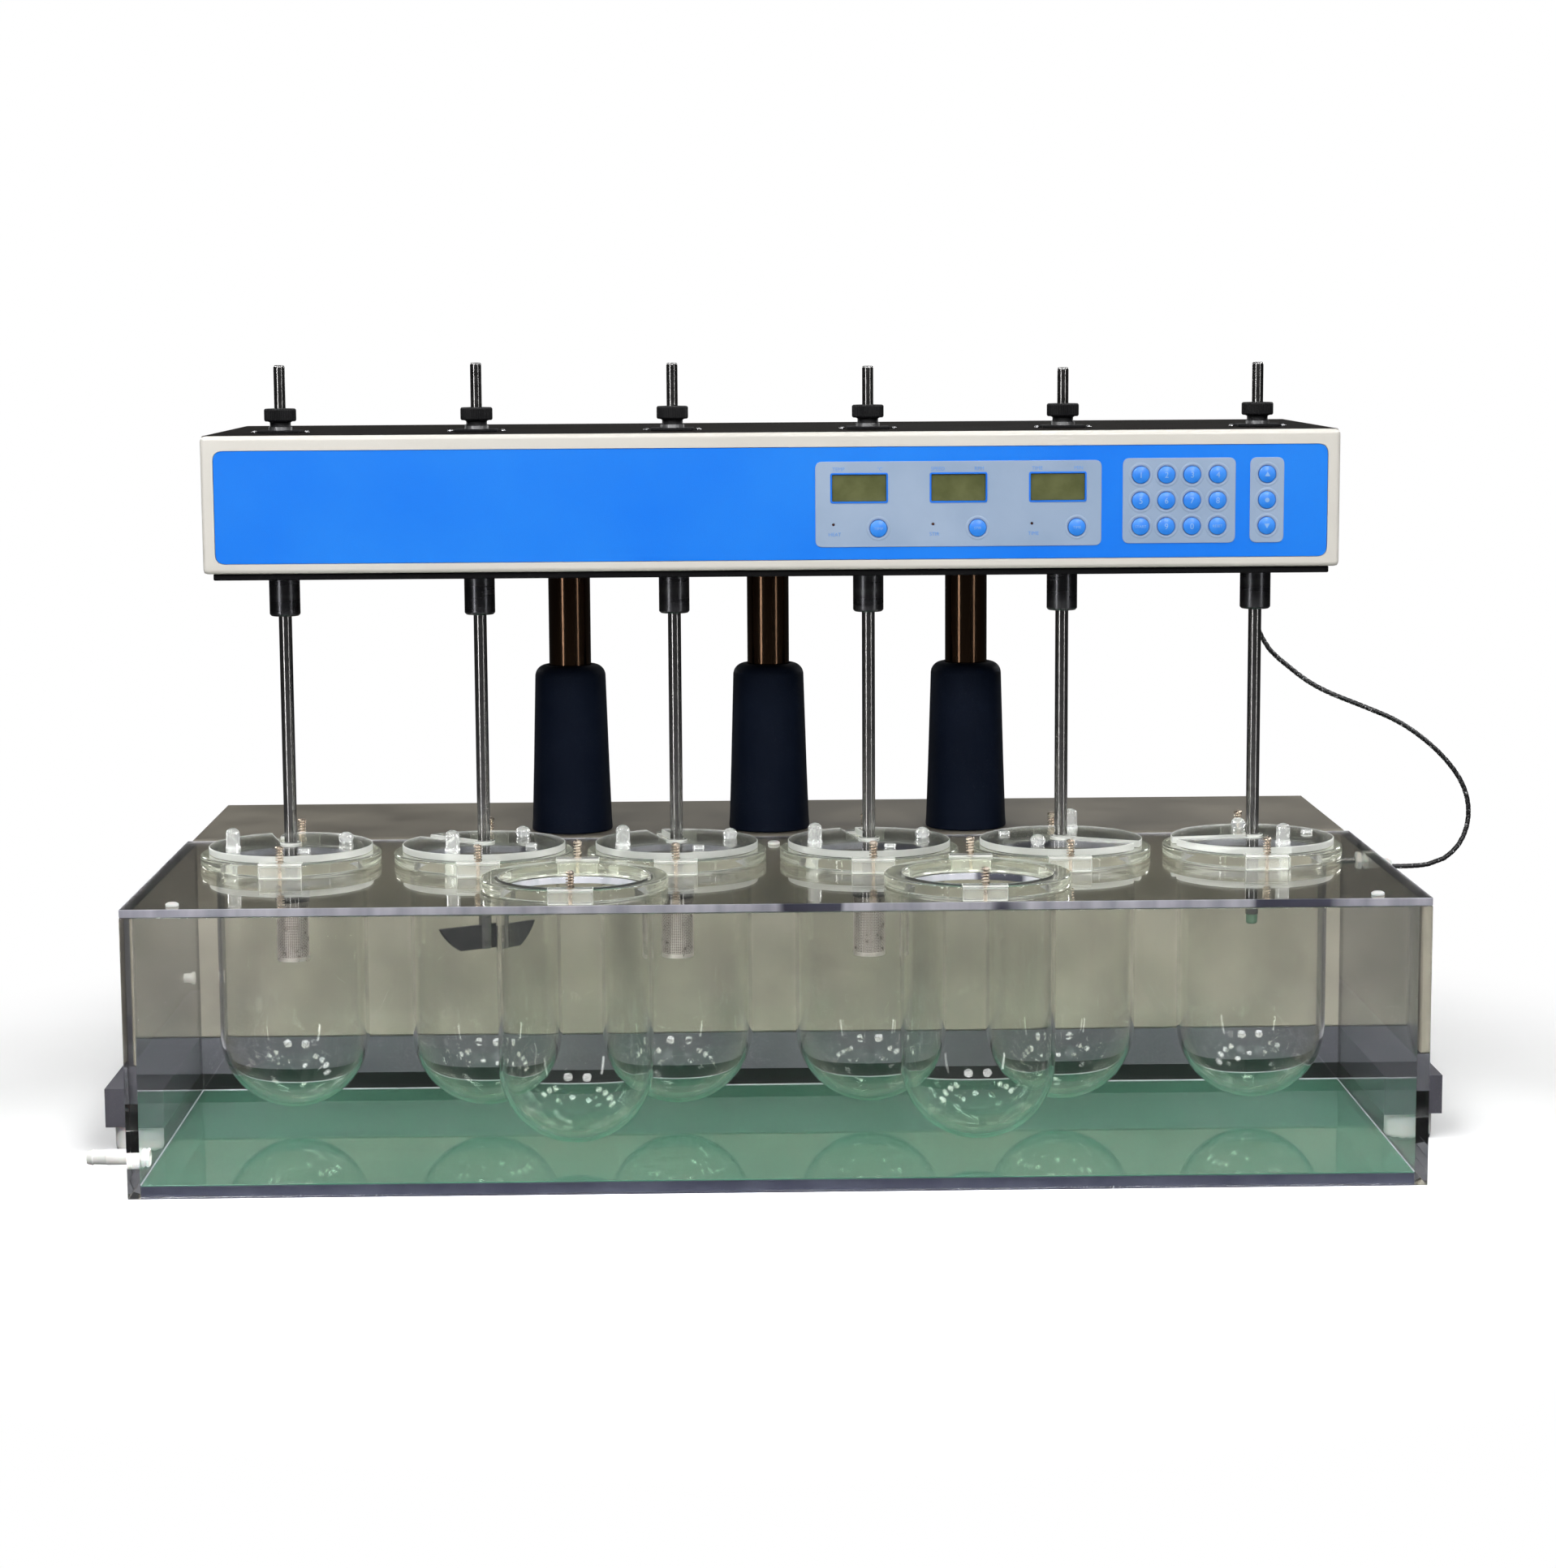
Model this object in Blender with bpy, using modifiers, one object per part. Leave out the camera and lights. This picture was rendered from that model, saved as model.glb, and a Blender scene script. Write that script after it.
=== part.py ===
"""Tablet dissolution tester: a clear heated bath with glass vessels, and a lifting head with six stirrers.

Metres, +Z up. The origin lies on the bench in the middle of the footprint, and the front faces -Y.
Stations are counted from the left as the front is seen.
"""

import math

import bmesh
import bpy
from mathutils import Matrix, Vector

# Clearances and cutters
GAP = 0.0003
OVERRUN = 0.002
SINK = 0.0005
MERGE = 0.00005
ROUND_SIDES = 20
SMALL_SIDES = 12
SCREW_SIDES = 8
SMOOTH_ANGLE = math.radians(35)

# Glass vessels
VESSEL_RADIUS = 0.0542
VESSEL_WALL = 0.0026
VESSEL_LENGTH = 0.1875
FLANGE_WIDTH = 0.011
FLANGE_THICKNESS = 0.0092
FLANGE_RADIUS = VESSEL_RADIUS + FLANGE_WIDTH
VESSEL_HOLE_CLEARANCE = 0.0012
BOWL_STEPS = 4

# Vessel covers
COVER_LAP = 0.0048
COVER_RADIUS = VESSEL_RADIUS + COVER_LAP
COVER_THICKNESS = 0.005
COVER_HOLE_CLEARANCE = 0.0008
COVER_HUB_WALL = 0.003
COVER_HUB_HEIGHT = 0.002
PLUG_ROD_RADIUS = 0.0055
PLUG_ROD_ABOVE = 0.018
PLUG_ROD_BELOW = 0.023
PLUG_ROD_TO_GLASS = 0.0021
PLUG_ROD_REACH = VESSEL_RADIUS - VESSEL_WALL - PLUG_ROD_TO_GLASS - PLUG_ROD_RADIUS
PLUG_KNOB_RADIUS = 0.0053
PLUG_KNOB_HEIGHT = 0.0095
PLUG_KNOB_FROM_RIM = 0.019
PLUG_KNOB_REACH = COVER_RADIUS - PLUG_KNOB_FROM_RIM
PLUG_CAP_RADIUS = 0.0042
PLUG_CAP_HEIGHT = 0.0025
PLUG_CAP_FROM_RIM = 0.016
PLUG_CAP_REACH = COVER_RADIUS - PLUG_CAP_FROM_RIM
PLUG_ROD_ANGLE = 207.0
PLUG_KNOB_ANGLE = 12.0
PLUG_CAP_ANGLE = -70.0
SLOT_ANGLE = 105.0
COVER_TURNS = (0.0, 36.0, 2.0, -2.0, 228.0, 84.0)

# Clips that hold each vessel on the lid
CLIP_WIDTH = 0.030
CLIP_DEPTH = 0.0053
CLIP_TO_COVER = 0.0012
CLIP_LAP = FLANGE_WIDTH - COVER_LAP - CLIP_TO_COVER
CLIP_LAP_THICKNESS = 0.003
CLIP_SCREW_RADIUS = 0.0025
CLIP_SCREW_HEIGHT = 0.009
CLIP_TO_LID_EDGE = 0.0005

# Layout of the stations
STATION_COUNT = 6
SPARE_COUNT = 2
FLANGE_SPACING = 0.0096
ROW_FLANGE_SPACING = 0.008524
STATION_PITCH = 2 * FLANGE_RADIUS + FLANGE_SPACING
ROW_SPACING = math.sqrt((2 * FLANGE_RADIUS + ROW_FLANGE_SPACING) ** 2 - (STATION_PITCH / 2) ** 2)
SPARE_ROW_FROM_FRONT = FLANGE_RADIUS + CLIP_DEPTH + CLIP_TO_LID_EDGE
STIRRED_ROW_FROM_FRONT = SPARE_ROW_FROM_FRONT + ROW_SPACING
STATIONS_SPAN = STATION_PITCH * (STATION_COUNT - 1)

# Water bath
TANK_END = 0.093
TANK_REAR = 0.0455
TANK_WALL = 0.008
TANK_WIDTH = STATIONS_SPAN + 2 * TANK_END
TANK_DEPTH = STIRRED_ROW_FROM_FRONT + FLANGE_RADIUS + CLIP_DEPTH + TANK_REAR
VESSEL_TO_FLOOR = 0.014
VESSEL_BOTTOM = TANK_WALL + VESSEL_TO_FLOOR
FLANGE_TOP = VESSEL_BOTTOM + VESSEL_LENGTH
FLANGE_BOTTOM = FLANGE_TOP - FLANGE_THICKNESS
BATH_HEIGHT = FLANGE_BOTTOM - GAP
LID_THICKNESS = 0.0055
COVER_BOTTOM = FLANGE_TOP + GAP
COVER_TOP = COVER_BOTTOM + COVER_THICKNESS

# Cabinet and plinth
CABINET_INSET = 0.0035
CABINET_WIDTH = TANK_WIDTH - 2 * CABINET_INSET
CABINET_TO_COLUMNS = 0.036
CABINET_BEHIND_COLUMNS = 0.151
CABINET_DEPTH = CABINET_TO_COLUMNS + CABINET_BEHIND_COLUMNS
CABINET_ABOVE_LID = 0.001
CABINET_TOP = BATH_HEIGHT + CABINET_ABOVE_LID
CABINET_SHEET = 0.0016
CABINET_EDGE_RADIUS = 0.0012
TANK_TO_CABINET = 0.002
ARM_WIDTH = 0.0355
ARM_TO_TANK = 0.0015
ARM_FROM_FRONT = 0.130
PLINTH_WIDTH = TANK_WIDTH + 2 * (ARM_TO_TANK + ARM_WIDTH)
PLINTH_BOTTOM = 0.020
PLINTH_HEIGHT = 0.028
FOOT_RADIUS = 0.0135
FOOT_INSET = 0.018
REAR_FOOT_INSET = 0.030

# Mains inlet in the back of the cabinet
INLET_FROM_SIDE = 0.090
INLET_ABOVE_PLINTH = 0.035
INLET_WIDTH = 0.027
INLET_HEIGHT = 0.020
INLET_DEPTH = 0.015
INLET_WALL = 0.003

# Lift columns, their sleeves and the cross beam inside the cabinet
COLUMN_COUNT = 3
COLUMN_SPACING = 0.152
COLUMN_FROM_FRONT = TANK_DEPTH + TANK_TO_CABINET + CABINET_TO_COLUMNS
COLUMN_RADIUS = 0.016
COLUMN_IN_CABINET = 0.051
COLUMN_BOTTOM = CABINET_TOP - COLUMN_IN_CABINET
BEAM_END_MARGIN = 0.006
BEAM_SIDE_MARGIN = 0.004
BEAM_HEIGHT = 0.012
BOOT_HEIGHT = 0.128
BOOT_LIP = 0.0017
BOOT_SHOULDER = 0.009
BOOT_TAPER = 0.004
BOOT_TOP_RADIUS = COLUMN_RADIUS + GAP + BOOT_LIP + BOOT_SHOULDER
BOOT_BOTTOM_RADIUS = BOOT_TOP_RADIUS + BOOT_TAPER
BOOT_SHOULDER_STEPS = 3

# Keys
KEY_RADIUS = 0.006
KEY_DOME = 0.0018
KEY_EDGE_RISE = 0.0008
KEY_BODY = 0.0022
KEY_POCKET_DEPTH = 0.0042
KEY_SPACING = 0.006
KEY_PITCH = 2 * KEY_RADIUS + KEY_SPACING
KEYPAD_COLUMNS = 4
KEYPAD_ROWS = 3
KEY_SIDES = 12
KEY_DOME_STEPS = 2

# Raised plates on the control panel, with places measured from the panel's top
PLATE_RISE = 0.0006
PLATE_CORNER = 0.005
KEYPAD_PLATE_TOP = 0.009
KEYPAD_TOP_MARGIN = 0.0058
KEYPAD_SIDE_MARGIN = 0.0066
KEYPAD_PLATE_HEIGHT = KEY_PITCH * (KEYPAD_ROWS - 1) + 2 * (KEY_RADIUS + KEYPAD_TOP_MARGIN)
KEYPAD_PLATE_WIDTH = KEY_PITCH * (KEYPAD_COLUMNS - 1) + 2 * (KEY_RADIUS + KEYPAD_SIDE_MARGIN)
ARROW_SIDE_MARGIN = 0.00595
ARROW_PLATE_WIDTH = 2 * (KEY_RADIUS + ARROW_SIDE_MARGIN)
DISPLAY_COUNT = 3
DISPLAY_WIDTH = 0.0382
DISPLAY_HEIGHT = 0.019
DISPLAY_DEPTH = 0.0012
DISPLAY_SPACING = 0.0313
DISPLAY_PITCH = DISPLAY_WIDTH + DISPLAY_SPACING
DISPLAY_PLATE_TOP = 0.0101
DISPLAY_TOP_MARGIN = 0.009
DISPLAY_SIDE_MARGIN = 0.0116
DISPLAY_FIRST = DISPLAY_SIDE_MARGIN + DISPLAY_WIDTH / 2
DISPLAY_DROP = DISPLAY_TOP_MARGIN + DISPLAY_HEIGHT / 2
MODE_KEY_BELOW = 0.0188
MODE_KEY_BESIDE = 0.0134
MODE_KEY_MARGIN = 0.0129
MODE_KEY_FIRST = DISPLAY_FIRST + MODE_KEY_BESIDE
MODE_KEY_DROP = DISPLAY_DROP + DISPLAY_HEIGHT / 2 + MODE_KEY_BELOW
DISPLAY_PLATE_HEIGHT = MODE_KEY_DROP + MODE_KEY_MARGIN
DISPLAY_PLATE_WIDTH = 2 * DISPLAY_FIRST + DISPLAY_PITCH * (DISPLAY_COUNT - 1)

# Control panel
PANEL_BELOW_PLATES = 0.0099
PANEL_HEIGHT = KEYPAD_PLATE_TOP + KEYPAD_PLATE_HEIGHT + PANEL_BELOW_PLATES
PANEL_DROP = 0.0104
PANEL_FROM_BOTTOM = 0.0071
PANEL_FROM_SIDE = 0.009
PANEL_THICKNESS = 0.006
PANEL_CORNER = 0.007
PANEL_SET_BACK = 0.0004
ARROW_PLATE_FROM_SIDE = 0.0306
ARROW_TO_KEYPAD = 0.0101
KEYPAD_TO_DISPLAYS = 0.0148
CORNER_STEPS = 3

# Lifting head
HEAD_END = 0.048
HEAD_FRONT_TO_ROW = 0.069
HEAD_BEHIND_COLUMNS = 0.022
HEAD_OVER_BATH = 0.216
HEAD_WIDTH = STATIONS_SPAN + 2 * HEAD_END
HEAD_DEPTH = HEAD_FRONT_TO_ROW + COLUMN_FROM_FRONT - STIRRED_ROW_FROM_FRONT + HEAD_BEHIND_COLUMNS
HEAD_HEIGHT = PANEL_DROP + PANEL_HEIGHT + PANEL_FROM_BOTTOM
HEAD_BOTTOM = BATH_HEIGHT + HEAD_OVER_BATH
HEAD_FRAME_THICKNESS = 0.007
HEAD_SHEET = 0.0025
HEAD_EDGE_RADIUS = 0.003
BASE_PLATE_THICKNESS = 0.0045
BASE_PLATE_INSET = 0.006
TOP_PLATE_THICKNESS = 0.0025
BEARING_PAD_WIDTH = 0.031
BEARING_PAD_DEPTH = 0.026
BEARING_PAD_HEIGHT = 0.002

# Stirrer shafts and tools, one tool for each station
TOOLS = ("basket", "paddle", "basket", "basket", "short", "bare")
SHAFT_RADIUS = 0.0047
STEM_STEP = 0.0007
STEM_RADIUS = SHAFT_RADIUS - STEM_STEP
STEM_STEP_ABOVE_HEAD = 0.009
STEM_TIP_ROUND = 0.0012
STEM_ABOVE_NUT = (0.0307, 0.0317, 0.0307, 0.0277, 0.0257, 0.0287)
SHAFT_TRAVEL_ROOM = 0.030
BASKET_UNDER_COVER = 0.0298
BASKET_LENGTH = 0.038
BASKET_CAP_RADIUS = 0.0125
BASKET_CAP_STEP = 0.0008
BASKET_CAP_HEIGHT = 0.012
BASKET_RADIUS = BASKET_CAP_RADIUS - BASKET_CAP_STEP
BASKET_BOTTOM = COVER_BOTTOM - BASKET_UNDER_COVER - BASKET_CAP_HEIGHT - BASKET_LENGTH
PADDLE_TO_GLASS = 0.0101
PADDLE_ARC_RADIUS = VESSEL_RADIUS - VESSEL_WALL - PADDLE_TO_GLASS
PADDLE_TOP_CHORD_SHARE = 0.8976
PADDLE_BOTTOM_CHORD_SHARE = 0.506
PADDLE_THICKNESS = 0.004
PADDLE_UNDER_COVER = 0.0728
PADDLE_BOTTOM = COVER_BOTTOM - PADDLE_UNDER_COVER
PADDLE_ARC_STEPS = 4
PADDLE_TURN = 32.0
SHORT_SHAFT_ABOVE_COVER = 0.0017
SHORT_SHAFT_END = COVER_TOP + SHORT_SHAFT_ABOVE_COVER
BARE_SHAFT_UNDER_COVER = 0.0598
BARE_SHAFT_END = COVER_BOTTOM - BARE_SHAFT_UNDER_COVER
BARE_TIP_STEP = 0.0005
BARE_TIP_RADIUS = SHAFT_RADIUS - BARE_TIP_STEP
BARE_TIP_LENGTH = 0.009
COVER_HOLE_RADIUS = SHAFT_RADIUS + COVER_HOLE_CLEARANCE
COVER_HUB_RADIUS = COVER_HOLE_RADIUS + COVER_HUB_WALL

# Spindles
SPINDLE_WALL = 0.0038
SPINDLE_RADIUS = SHAFT_RADIUS + SPINDLE_WALL
SLEEVE_WALL = 0.0025
SLEEVE_RADIUS = SPINDLE_RADIUS + SLEEVE_WALL
SLEEVE_LENGTH = 0.0299
SLEEVE_CHAMFER = 0.0015
PULLEY_RADIUS = 0.020
PULLEY_WIDTH = 0.012
PULLEY_BELOW_TOP = 0.009
NUT_WALL = 0.003
NUT_RADIUS = SPINDLE_RADIUS + NUT_WALL
NUT_HEIGHT = 0.013
NUT_NECK_HEIGHT = 0.002

# Drive motor in the head
MOTOR_RADIUS = 0.032
MOTOR_SHAFT_LENGTH = 0.0102
MOTOR_SHAFT_RADIUS = 0.005
MOTOR_PULLEY_RADIUS = 0.015
MOTOR_BEHIND_ROW = 0.070

# Drain through the left wall of the bath
DRAIN_FROM_FRONT = 0.036
DRAIN_ABOVE_FLOOR = 0.004
DRAIN_THREAD_RADIUS = 0.0060
DRAIN_NUT_RADIUS = 0.0095
DRAIN_NUT_LENGTH = 0.007
DRAIN_FLANGE_RADIUS = 0.0105
DRAIN_FLANGE_LENGTH = 0.006
DRAIN_NOZZLE_RADIUS = 0.0055
DRAIN_TIP_RADIUS = 0.0046
DRAIN_TIP_LENGTH = 0.004
DRAIN_REACH = 0.033
DRAIN_BORE_RADIUS = 0.0035
DRAIN_HEIGHT = TANK_WALL + DRAIN_ABOVE_FLOOR + DRAIN_NUT_RADIUS

# Cable gland through the right wall of the bath
GLAND_BEHIND_ROW = 0.024
GLAND_BELOW_RIM = 0.0072
GLAND_THREAD_RADIUS = 0.0045
GLAND_NUT_RADIUS = 0.0068
GLAND_NUT_LENGTH = 0.004
GLAND_DOME_LENGTH = 0.010
GLAND_DOME_TIP_RADIUS = 0.0042
GLAND_PROBE_RADIUS = 0.0025
PROBE_TO_VESSEL = 0.0115
GLAND_FROM_FRONT = STIRRED_ROW_FROM_FRONT + GLAND_BEHIND_ROW
GLAND_PROBE_LENGTH = TANK_END - TANK_WALL - GAP - GLAND_NUT_LENGTH - VESSEL_RADIUS - PROBE_TO_VESSEL

# Sensor cable, from the underside of the head to the gland: x, y from the bath's front, and z
CABLE_RADIUS = 0.0018
CABLE_POINT_STEP = 0.0088
CABLE_ROUTE = (
    (0.3575, 0.2465, 0.4105),
    (0.3575, 0.2460, 0.3950),
    (0.3580, 0.2455, 0.3780),
    (0.3605, 0.2450, 0.3628),
    (0.3695, 0.2430, 0.3460),
    (0.3833, 0.2412, 0.3335),
    (0.3976, 0.2393, 0.3225),
    (0.4137, 0.2375, 0.3138),
    (0.4386, 0.2348, 0.3038),
    (0.4600, 0.2324, 0.2947),
    (0.4760, 0.2305, 0.2850),
    (0.4922, 0.2284, 0.2716),
    (0.5047, 0.2265, 0.2573),
    (0.5122, 0.2250, 0.2440),
    (0.5155, 0.2236, 0.2300),
    (0.5143, 0.2221, 0.2155),
    (0.5082, 0.2205, 0.2020),
    (0.4972, 0.2190, 0.1920),
    (0.4850, 0.2170, 0.1880),
    (0.4715, 0.2155, 0.1870),
    (0.4577, 0.2150, 0.1870),
)

# Colour, roughness and metallic value of each finish
FINISHES = {
    "clear_acrylic": ((0.80, 0.84, 0.86), 0.05, 0.0),
    "glass": ((0.86, 0.93, 0.88), 0.03, 0.0),
    "frosted_acrylic": ((0.86, 0.88, 0.88), 0.25, 0.0),
    "steel": ((0.60, 0.60, 0.62), 0.28, 1.0),
    "bronze": ((0.42, 0.27, 0.17), 0.25, 1.0),
    "black_rubber": ((0.03, 0.035, 0.05), 0.75, 0.0),
    "black_paint": ((0.02, 0.02, 0.022), 0.45, 0.0),
    "beige_paint": ((0.66, 0.63, 0.57), 0.45, 0.0),
    "dark_paint": ((0.10, 0.09, 0.08), 0.50, 0.0),
    "cabinet_paint": ((0.42, 0.39, 0.35), 0.45, 0.0),
    "plinth_paint": ((0.08, 0.08, 0.10), 0.55, 0.0),
    "blue_film": ((0.03, 0.24, 0.95), 0.35, 0.0),
    "blue_key": ((0.04, 0.28, 0.98), 0.22, 0.0),
    "white_nylon": ((0.85, 0.86, 0.85), 0.40, 0.0),
    "cable_sheath": ((0.02, 0.02, 0.02), 0.55, 0.0),
}

# Places that follow from the sizes above
TOTAL_DEPTH = TANK_DEPTH + TANK_TO_CABINET + CABINET_DEPTH
FRONT_Y = -TOTAL_DEPTH / 2
BACK_Y = TOTAL_DEPTH / 2
STIRRED_ROW_Y = FRONT_Y + STIRRED_ROW_FROM_FRONT
SPARE_ROW_Y = FRONT_Y + SPARE_ROW_FROM_FRONT
LID_BOTTOM = BATH_HEIGHT - LID_THICKNESS
TANK_TOP = LID_BOTTOM - GAP
GLAND_HEIGHT = TANK_TOP - GLAND_BELOW_RIM
CABINET_FRONT_Y = FRONT_Y + TANK_DEPTH + TANK_TO_CABINET
PLINTH_TOP = PLINTH_BOTTOM + PLINTH_HEIGHT
COLUMN_Y = FRONT_Y + COLUMN_FROM_FRONT
HEAD_FRONT_Y = STIRRED_ROW_Y - HEAD_FRONT_TO_ROW
HEAD_BACK_Y = HEAD_FRONT_Y + HEAD_DEPTH
HEAD_TOP = HEAD_BOTTOM + HEAD_HEIGHT
TOP_PLATE_BOTTOM = HEAD_TOP - TOP_PLATE_THICKNESS
CASE_TOP = TOP_PLATE_BOTTOM - GAP
BASE_PLATE_TOP = HEAD_BOTTOM - GAP
BASE_PLATE_BOTTOM = BASE_PLATE_TOP - BASE_PLATE_THICKNESS
SLEEVE_TOP = BASE_PLATE_BOTTOM - GAP
SLEEVE_BOTTOM = SLEEVE_TOP - SLEEVE_LENGTH
PAD_TOP = HEAD_TOP + BEARING_PAD_HEIGHT
PULLEY_TOP = CASE_TOP - PULLEY_BELOW_TOP
PULLEY_BOTTOM = PULLEY_TOP - PULLEY_WIDTH
NUT_BOTTOM = PAD_TOP + GAP + NUT_NECK_HEIGHT
NUT_TOP = NUT_BOTTOM + NUT_HEIGHT
STEM_STEP_HEIGHT = HEAD_BOTTOM + STEM_STEP_ABOVE_HEAD
BORE_STEP_HEIGHT = STEM_STEP_HEIGHT + SHAFT_TRAVEL_ROOM
SHAFT_BORE_RADIUS = SHAFT_RADIUS + GAP
STEM_BORE_RADIUS = STEM_RADIUS + GAP
SPINDLE_HOLE_RADIUS = SPINDLE_RADIUS + GAP
COLUMN_TOP = BASE_PLATE_BOTTOM - GAP
COLUMN_HOLE_RADIUS = COLUMN_RADIUS + GAP
BOOT_BOTTOM = CABINET_TOP + GAP
PANEL_WIDTH = HEAD_WIDTH - 2 * PANEL_FROM_SIDE
PANEL_FRONT_Y = HEAD_FRONT_Y + PANEL_SET_BACK
PANEL_TOP = HEAD_TOP - PANEL_DROP
PLATE_FRONT_Y = PANEL_FRONT_Y - PLATE_RISE
ARROW_PLATE_LEFT = PANEL_WIDTH - ARROW_PLATE_FROM_SIDE - ARROW_PLATE_WIDTH
KEYPAD_PLATE_LEFT = ARROW_PLATE_LEFT - ARROW_TO_KEYPAD - KEYPAD_PLATE_WIDTH
DISPLAY_PLATE_LEFT = KEYPAD_PLATE_LEFT - KEYPAD_TO_DISPLAYS - DISPLAY_PLATE_WIDTH
STATION_X = [STATION_PITCH * (i - (STATION_COUNT - 1) / 2) for i in range(STATION_COUNT)]
SPARE_X = [2 * STATION_PITCH * (i - (SPARE_COUNT - 1) / 2) for i in range(SPARE_COUNT)]
COLUMN_X = [COLUMN_SPACING * (i - (COLUMN_COUNT - 1) / 2) for i in range(COLUMN_COUNT)]
VESSEL_PLACES = [(x, STIRRED_ROW_Y) for x in STATION_X] + [(x, SPARE_ROW_Y) for x in SPARE_X]


def clear_scene():
    """Removes whatever the scene holds at the start."""
    for found in list(bpy.data.objects):
        bpy.data.objects.remove(found, do_unlink=True)


def new_collection(name):
    made = bpy.data.collections.new(name)
    bpy.context.scene.collection.children.link(made)
    return made


clear_scene()
PARTS = new_collection("dissolution_tester")
CUTTERS = new_collection("cutters")
CUTTERS.hide_render = True


def finish(name):
    """The material of one finish, made once."""
    found = bpy.data.materials.get(name)
    if found:
        return found
    colour, roughness, metallic = FINISHES[name]
    made = bpy.data.materials.new(name)
    made.use_nodes = True
    shader = made.node_tree.nodes["Principled BSDF"]
    shader.inputs["Base Color"].default_value = (*colour, 1.0)
    shader.inputs["Roughness"].default_value = roughness
    shader.inputs["Metallic"].default_value = metallic
    return made


def place(made, where, parent):
    """Puts an object at a world place, under a parent that is neither turned nor scaled."""
    made.parent = parent
    made.location = Vector(where) - (parent.matrix_world.translation if parent else Vector())
    bpy.context.view_layer.update()


def add_part(name, mesh, finish_name, where=(0, 0, 0), parent=None):
    """One named piece of the tester."""
    made = bpy.data.objects.new(name, mesh)
    PARTS.objects.link(made)
    if not mesh.materials:
        mesh.materials.append(finish(finish_name))
    place(made, where, parent)
    return made


def add_cutter(name, mesh, where=(0, 0, 0)):
    """A shape that only cuts or joins others."""
    made = bpy.data.objects.new(name, mesh)
    CUTTERS.objects.link(made)
    made.hide_render = True
    made.display_type = "WIRE"
    place(made, where, None)
    return made


def combine(target, other, operation):
    """Cuts the other shape from the target, or joins it to the target."""
    step = target.modifiers.new(f"{operation.lower()}_{other.name}", "BOOLEAN")
    step.operation = operation
    step.object = other
    step.solver = "EXACT"


def add_empty(name, where):
    """A parent on a joint axis."""
    made = bpy.data.objects.new(name, None)
    PARTS.objects.link(made)
    place(made, where, None)
    return made


def mesh_from(bm, name):
    """Turns a finished bmesh into a mesh with smooth round sides."""
    bmesh.ops.recalc_face_normals(bm, faces=bm.faces)
    mesh = bpy.data.meshes.new(name)
    bm.to_mesh(mesh)
    bm.free()
    mesh.shade_smooth()
    mesh.set_sharp_from_angle(angle=SMOOTH_ANGLE)
    return mesh


def box_mesh(name, low, high):
    """A box between two corners."""
    low, high = Vector(low), Vector(high)
    bm = bmesh.new()
    bmesh.ops.create_cube(bm, size=1)
    bmesh.ops.scale(bm, vec=high - low, verts=bm.verts)
    bmesh.ops.translate(bm, vec=(low + high) / 2, verts=bm.verts)
    return mesh_from(bm, name)


def cylinders_mesh(name, places, radius, low, high, sides):
    """Upright cylinders of one size, one at each (x, y)."""
    bm = bmesh.new()
    for x, y in places:
        bmesh.ops.create_cone(
            bm,
            cap_ends=True,
            segments=sides,
            radius1=radius,
            radius2=radius,
            depth=high - low,
            matrix=Matrix.Translation((x, y, (low + high) / 2)),
        )
    return mesh_from(bm, name)


def profile_mesh(name, points):
    """An open outline of (radius, height) points for a Screw modifier, outer side from the top down."""
    mesh = bpy.data.meshes.new(name)
    edges = [(i, i + 1) for i in range(len(points) - 1)]
    mesh.from_pydata([(r, 0, z) for r, z in points], edges, [])
    return mesh


def turn_about_z(made, sides):
    """Turns the object's profile into a closed round body."""
    step = made.modifiers.new("turned", "SCREW")
    step.steps = sides
    step.render_steps = sides
    step.use_merge_vertices = True
    step.merge_threshold = MERGE
    step.use_smooth_shade = True
    return made


def ring_profile(points):
    """Closes a profile that doesn't reach the axis, so that it turns into a ring or a tube."""
    return [*points, points[0]]


def arc(radius, start, end, steps, centre=(0, 0)):
    """Points on an arc of (radius, height), angles in degrees from the outward direction."""
    turns = [math.radians(start + (end - start) * i / steps) for i in range(steps + 1)]
    return [(centre[0] + radius * math.cos(a), centre[1] + radius * math.sin(a)) for a in turns]


def rounded_outline(width, height, corner):
    """A rectangle with round corners about the origin, anticlockwise."""
    points = []
    for sign_x, sign_y, start in ((1, 1, 0), (-1, 1, 90), (-1, -1, 180), (1, -1, 270)):
        centre = (sign_x * (width / 2 - corner), sign_y * (height / 2 - corner))
        points += arc(corner, start, start + 90, CORNER_STEPS, centre)
    return points


def plate_mesh(name, outline, thickness):
    """A flat plate from a 2D outline, centred on its own plane."""
    curve = bpy.data.curves.new(name, "CURVE")
    curve.dimensions = "2D"
    curve.fill_mode = "BOTH"
    curve.extrude = thickness / 2
    spline = curve.splines.new("POLY")
    spline.points.add(len(outline) - 1)
    for point, (x, y) in zip(spline.points, outline):
        point.co = (x, y, 0, 1)
    spline.use_cyclic_u = True
    drawn = bpy.data.objects.new(name, curve)
    PARTS.objects.link(drawn)
    graph = bpy.context.evaluated_depsgraph_get()
    mesh = bpy.data.meshes.new_from_object(drawn.evaluated_get(graph))
    bpy.data.objects.remove(drawn, do_unlink=True)
    bm = bmesh.new()
    bm.from_mesh(mesh)
    bmesh.ops.remove_doubles(bm, verts=bm.verts, dist=MERGE)
    return mesh_from(bm, name)


def stand_up(mesh):
    """Turns a flat plate so that its outline lies in X and Z and it faces -Y."""
    mesh.transform(Matrix.Rotation(math.radians(90), 4, "X"))
    return mesh


def on_circle(reach, angle):
    """A place on a circle, angle in degrees."""
    return reach * math.cos(math.radians(angle)), reach * math.sin(math.radians(angle))


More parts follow.
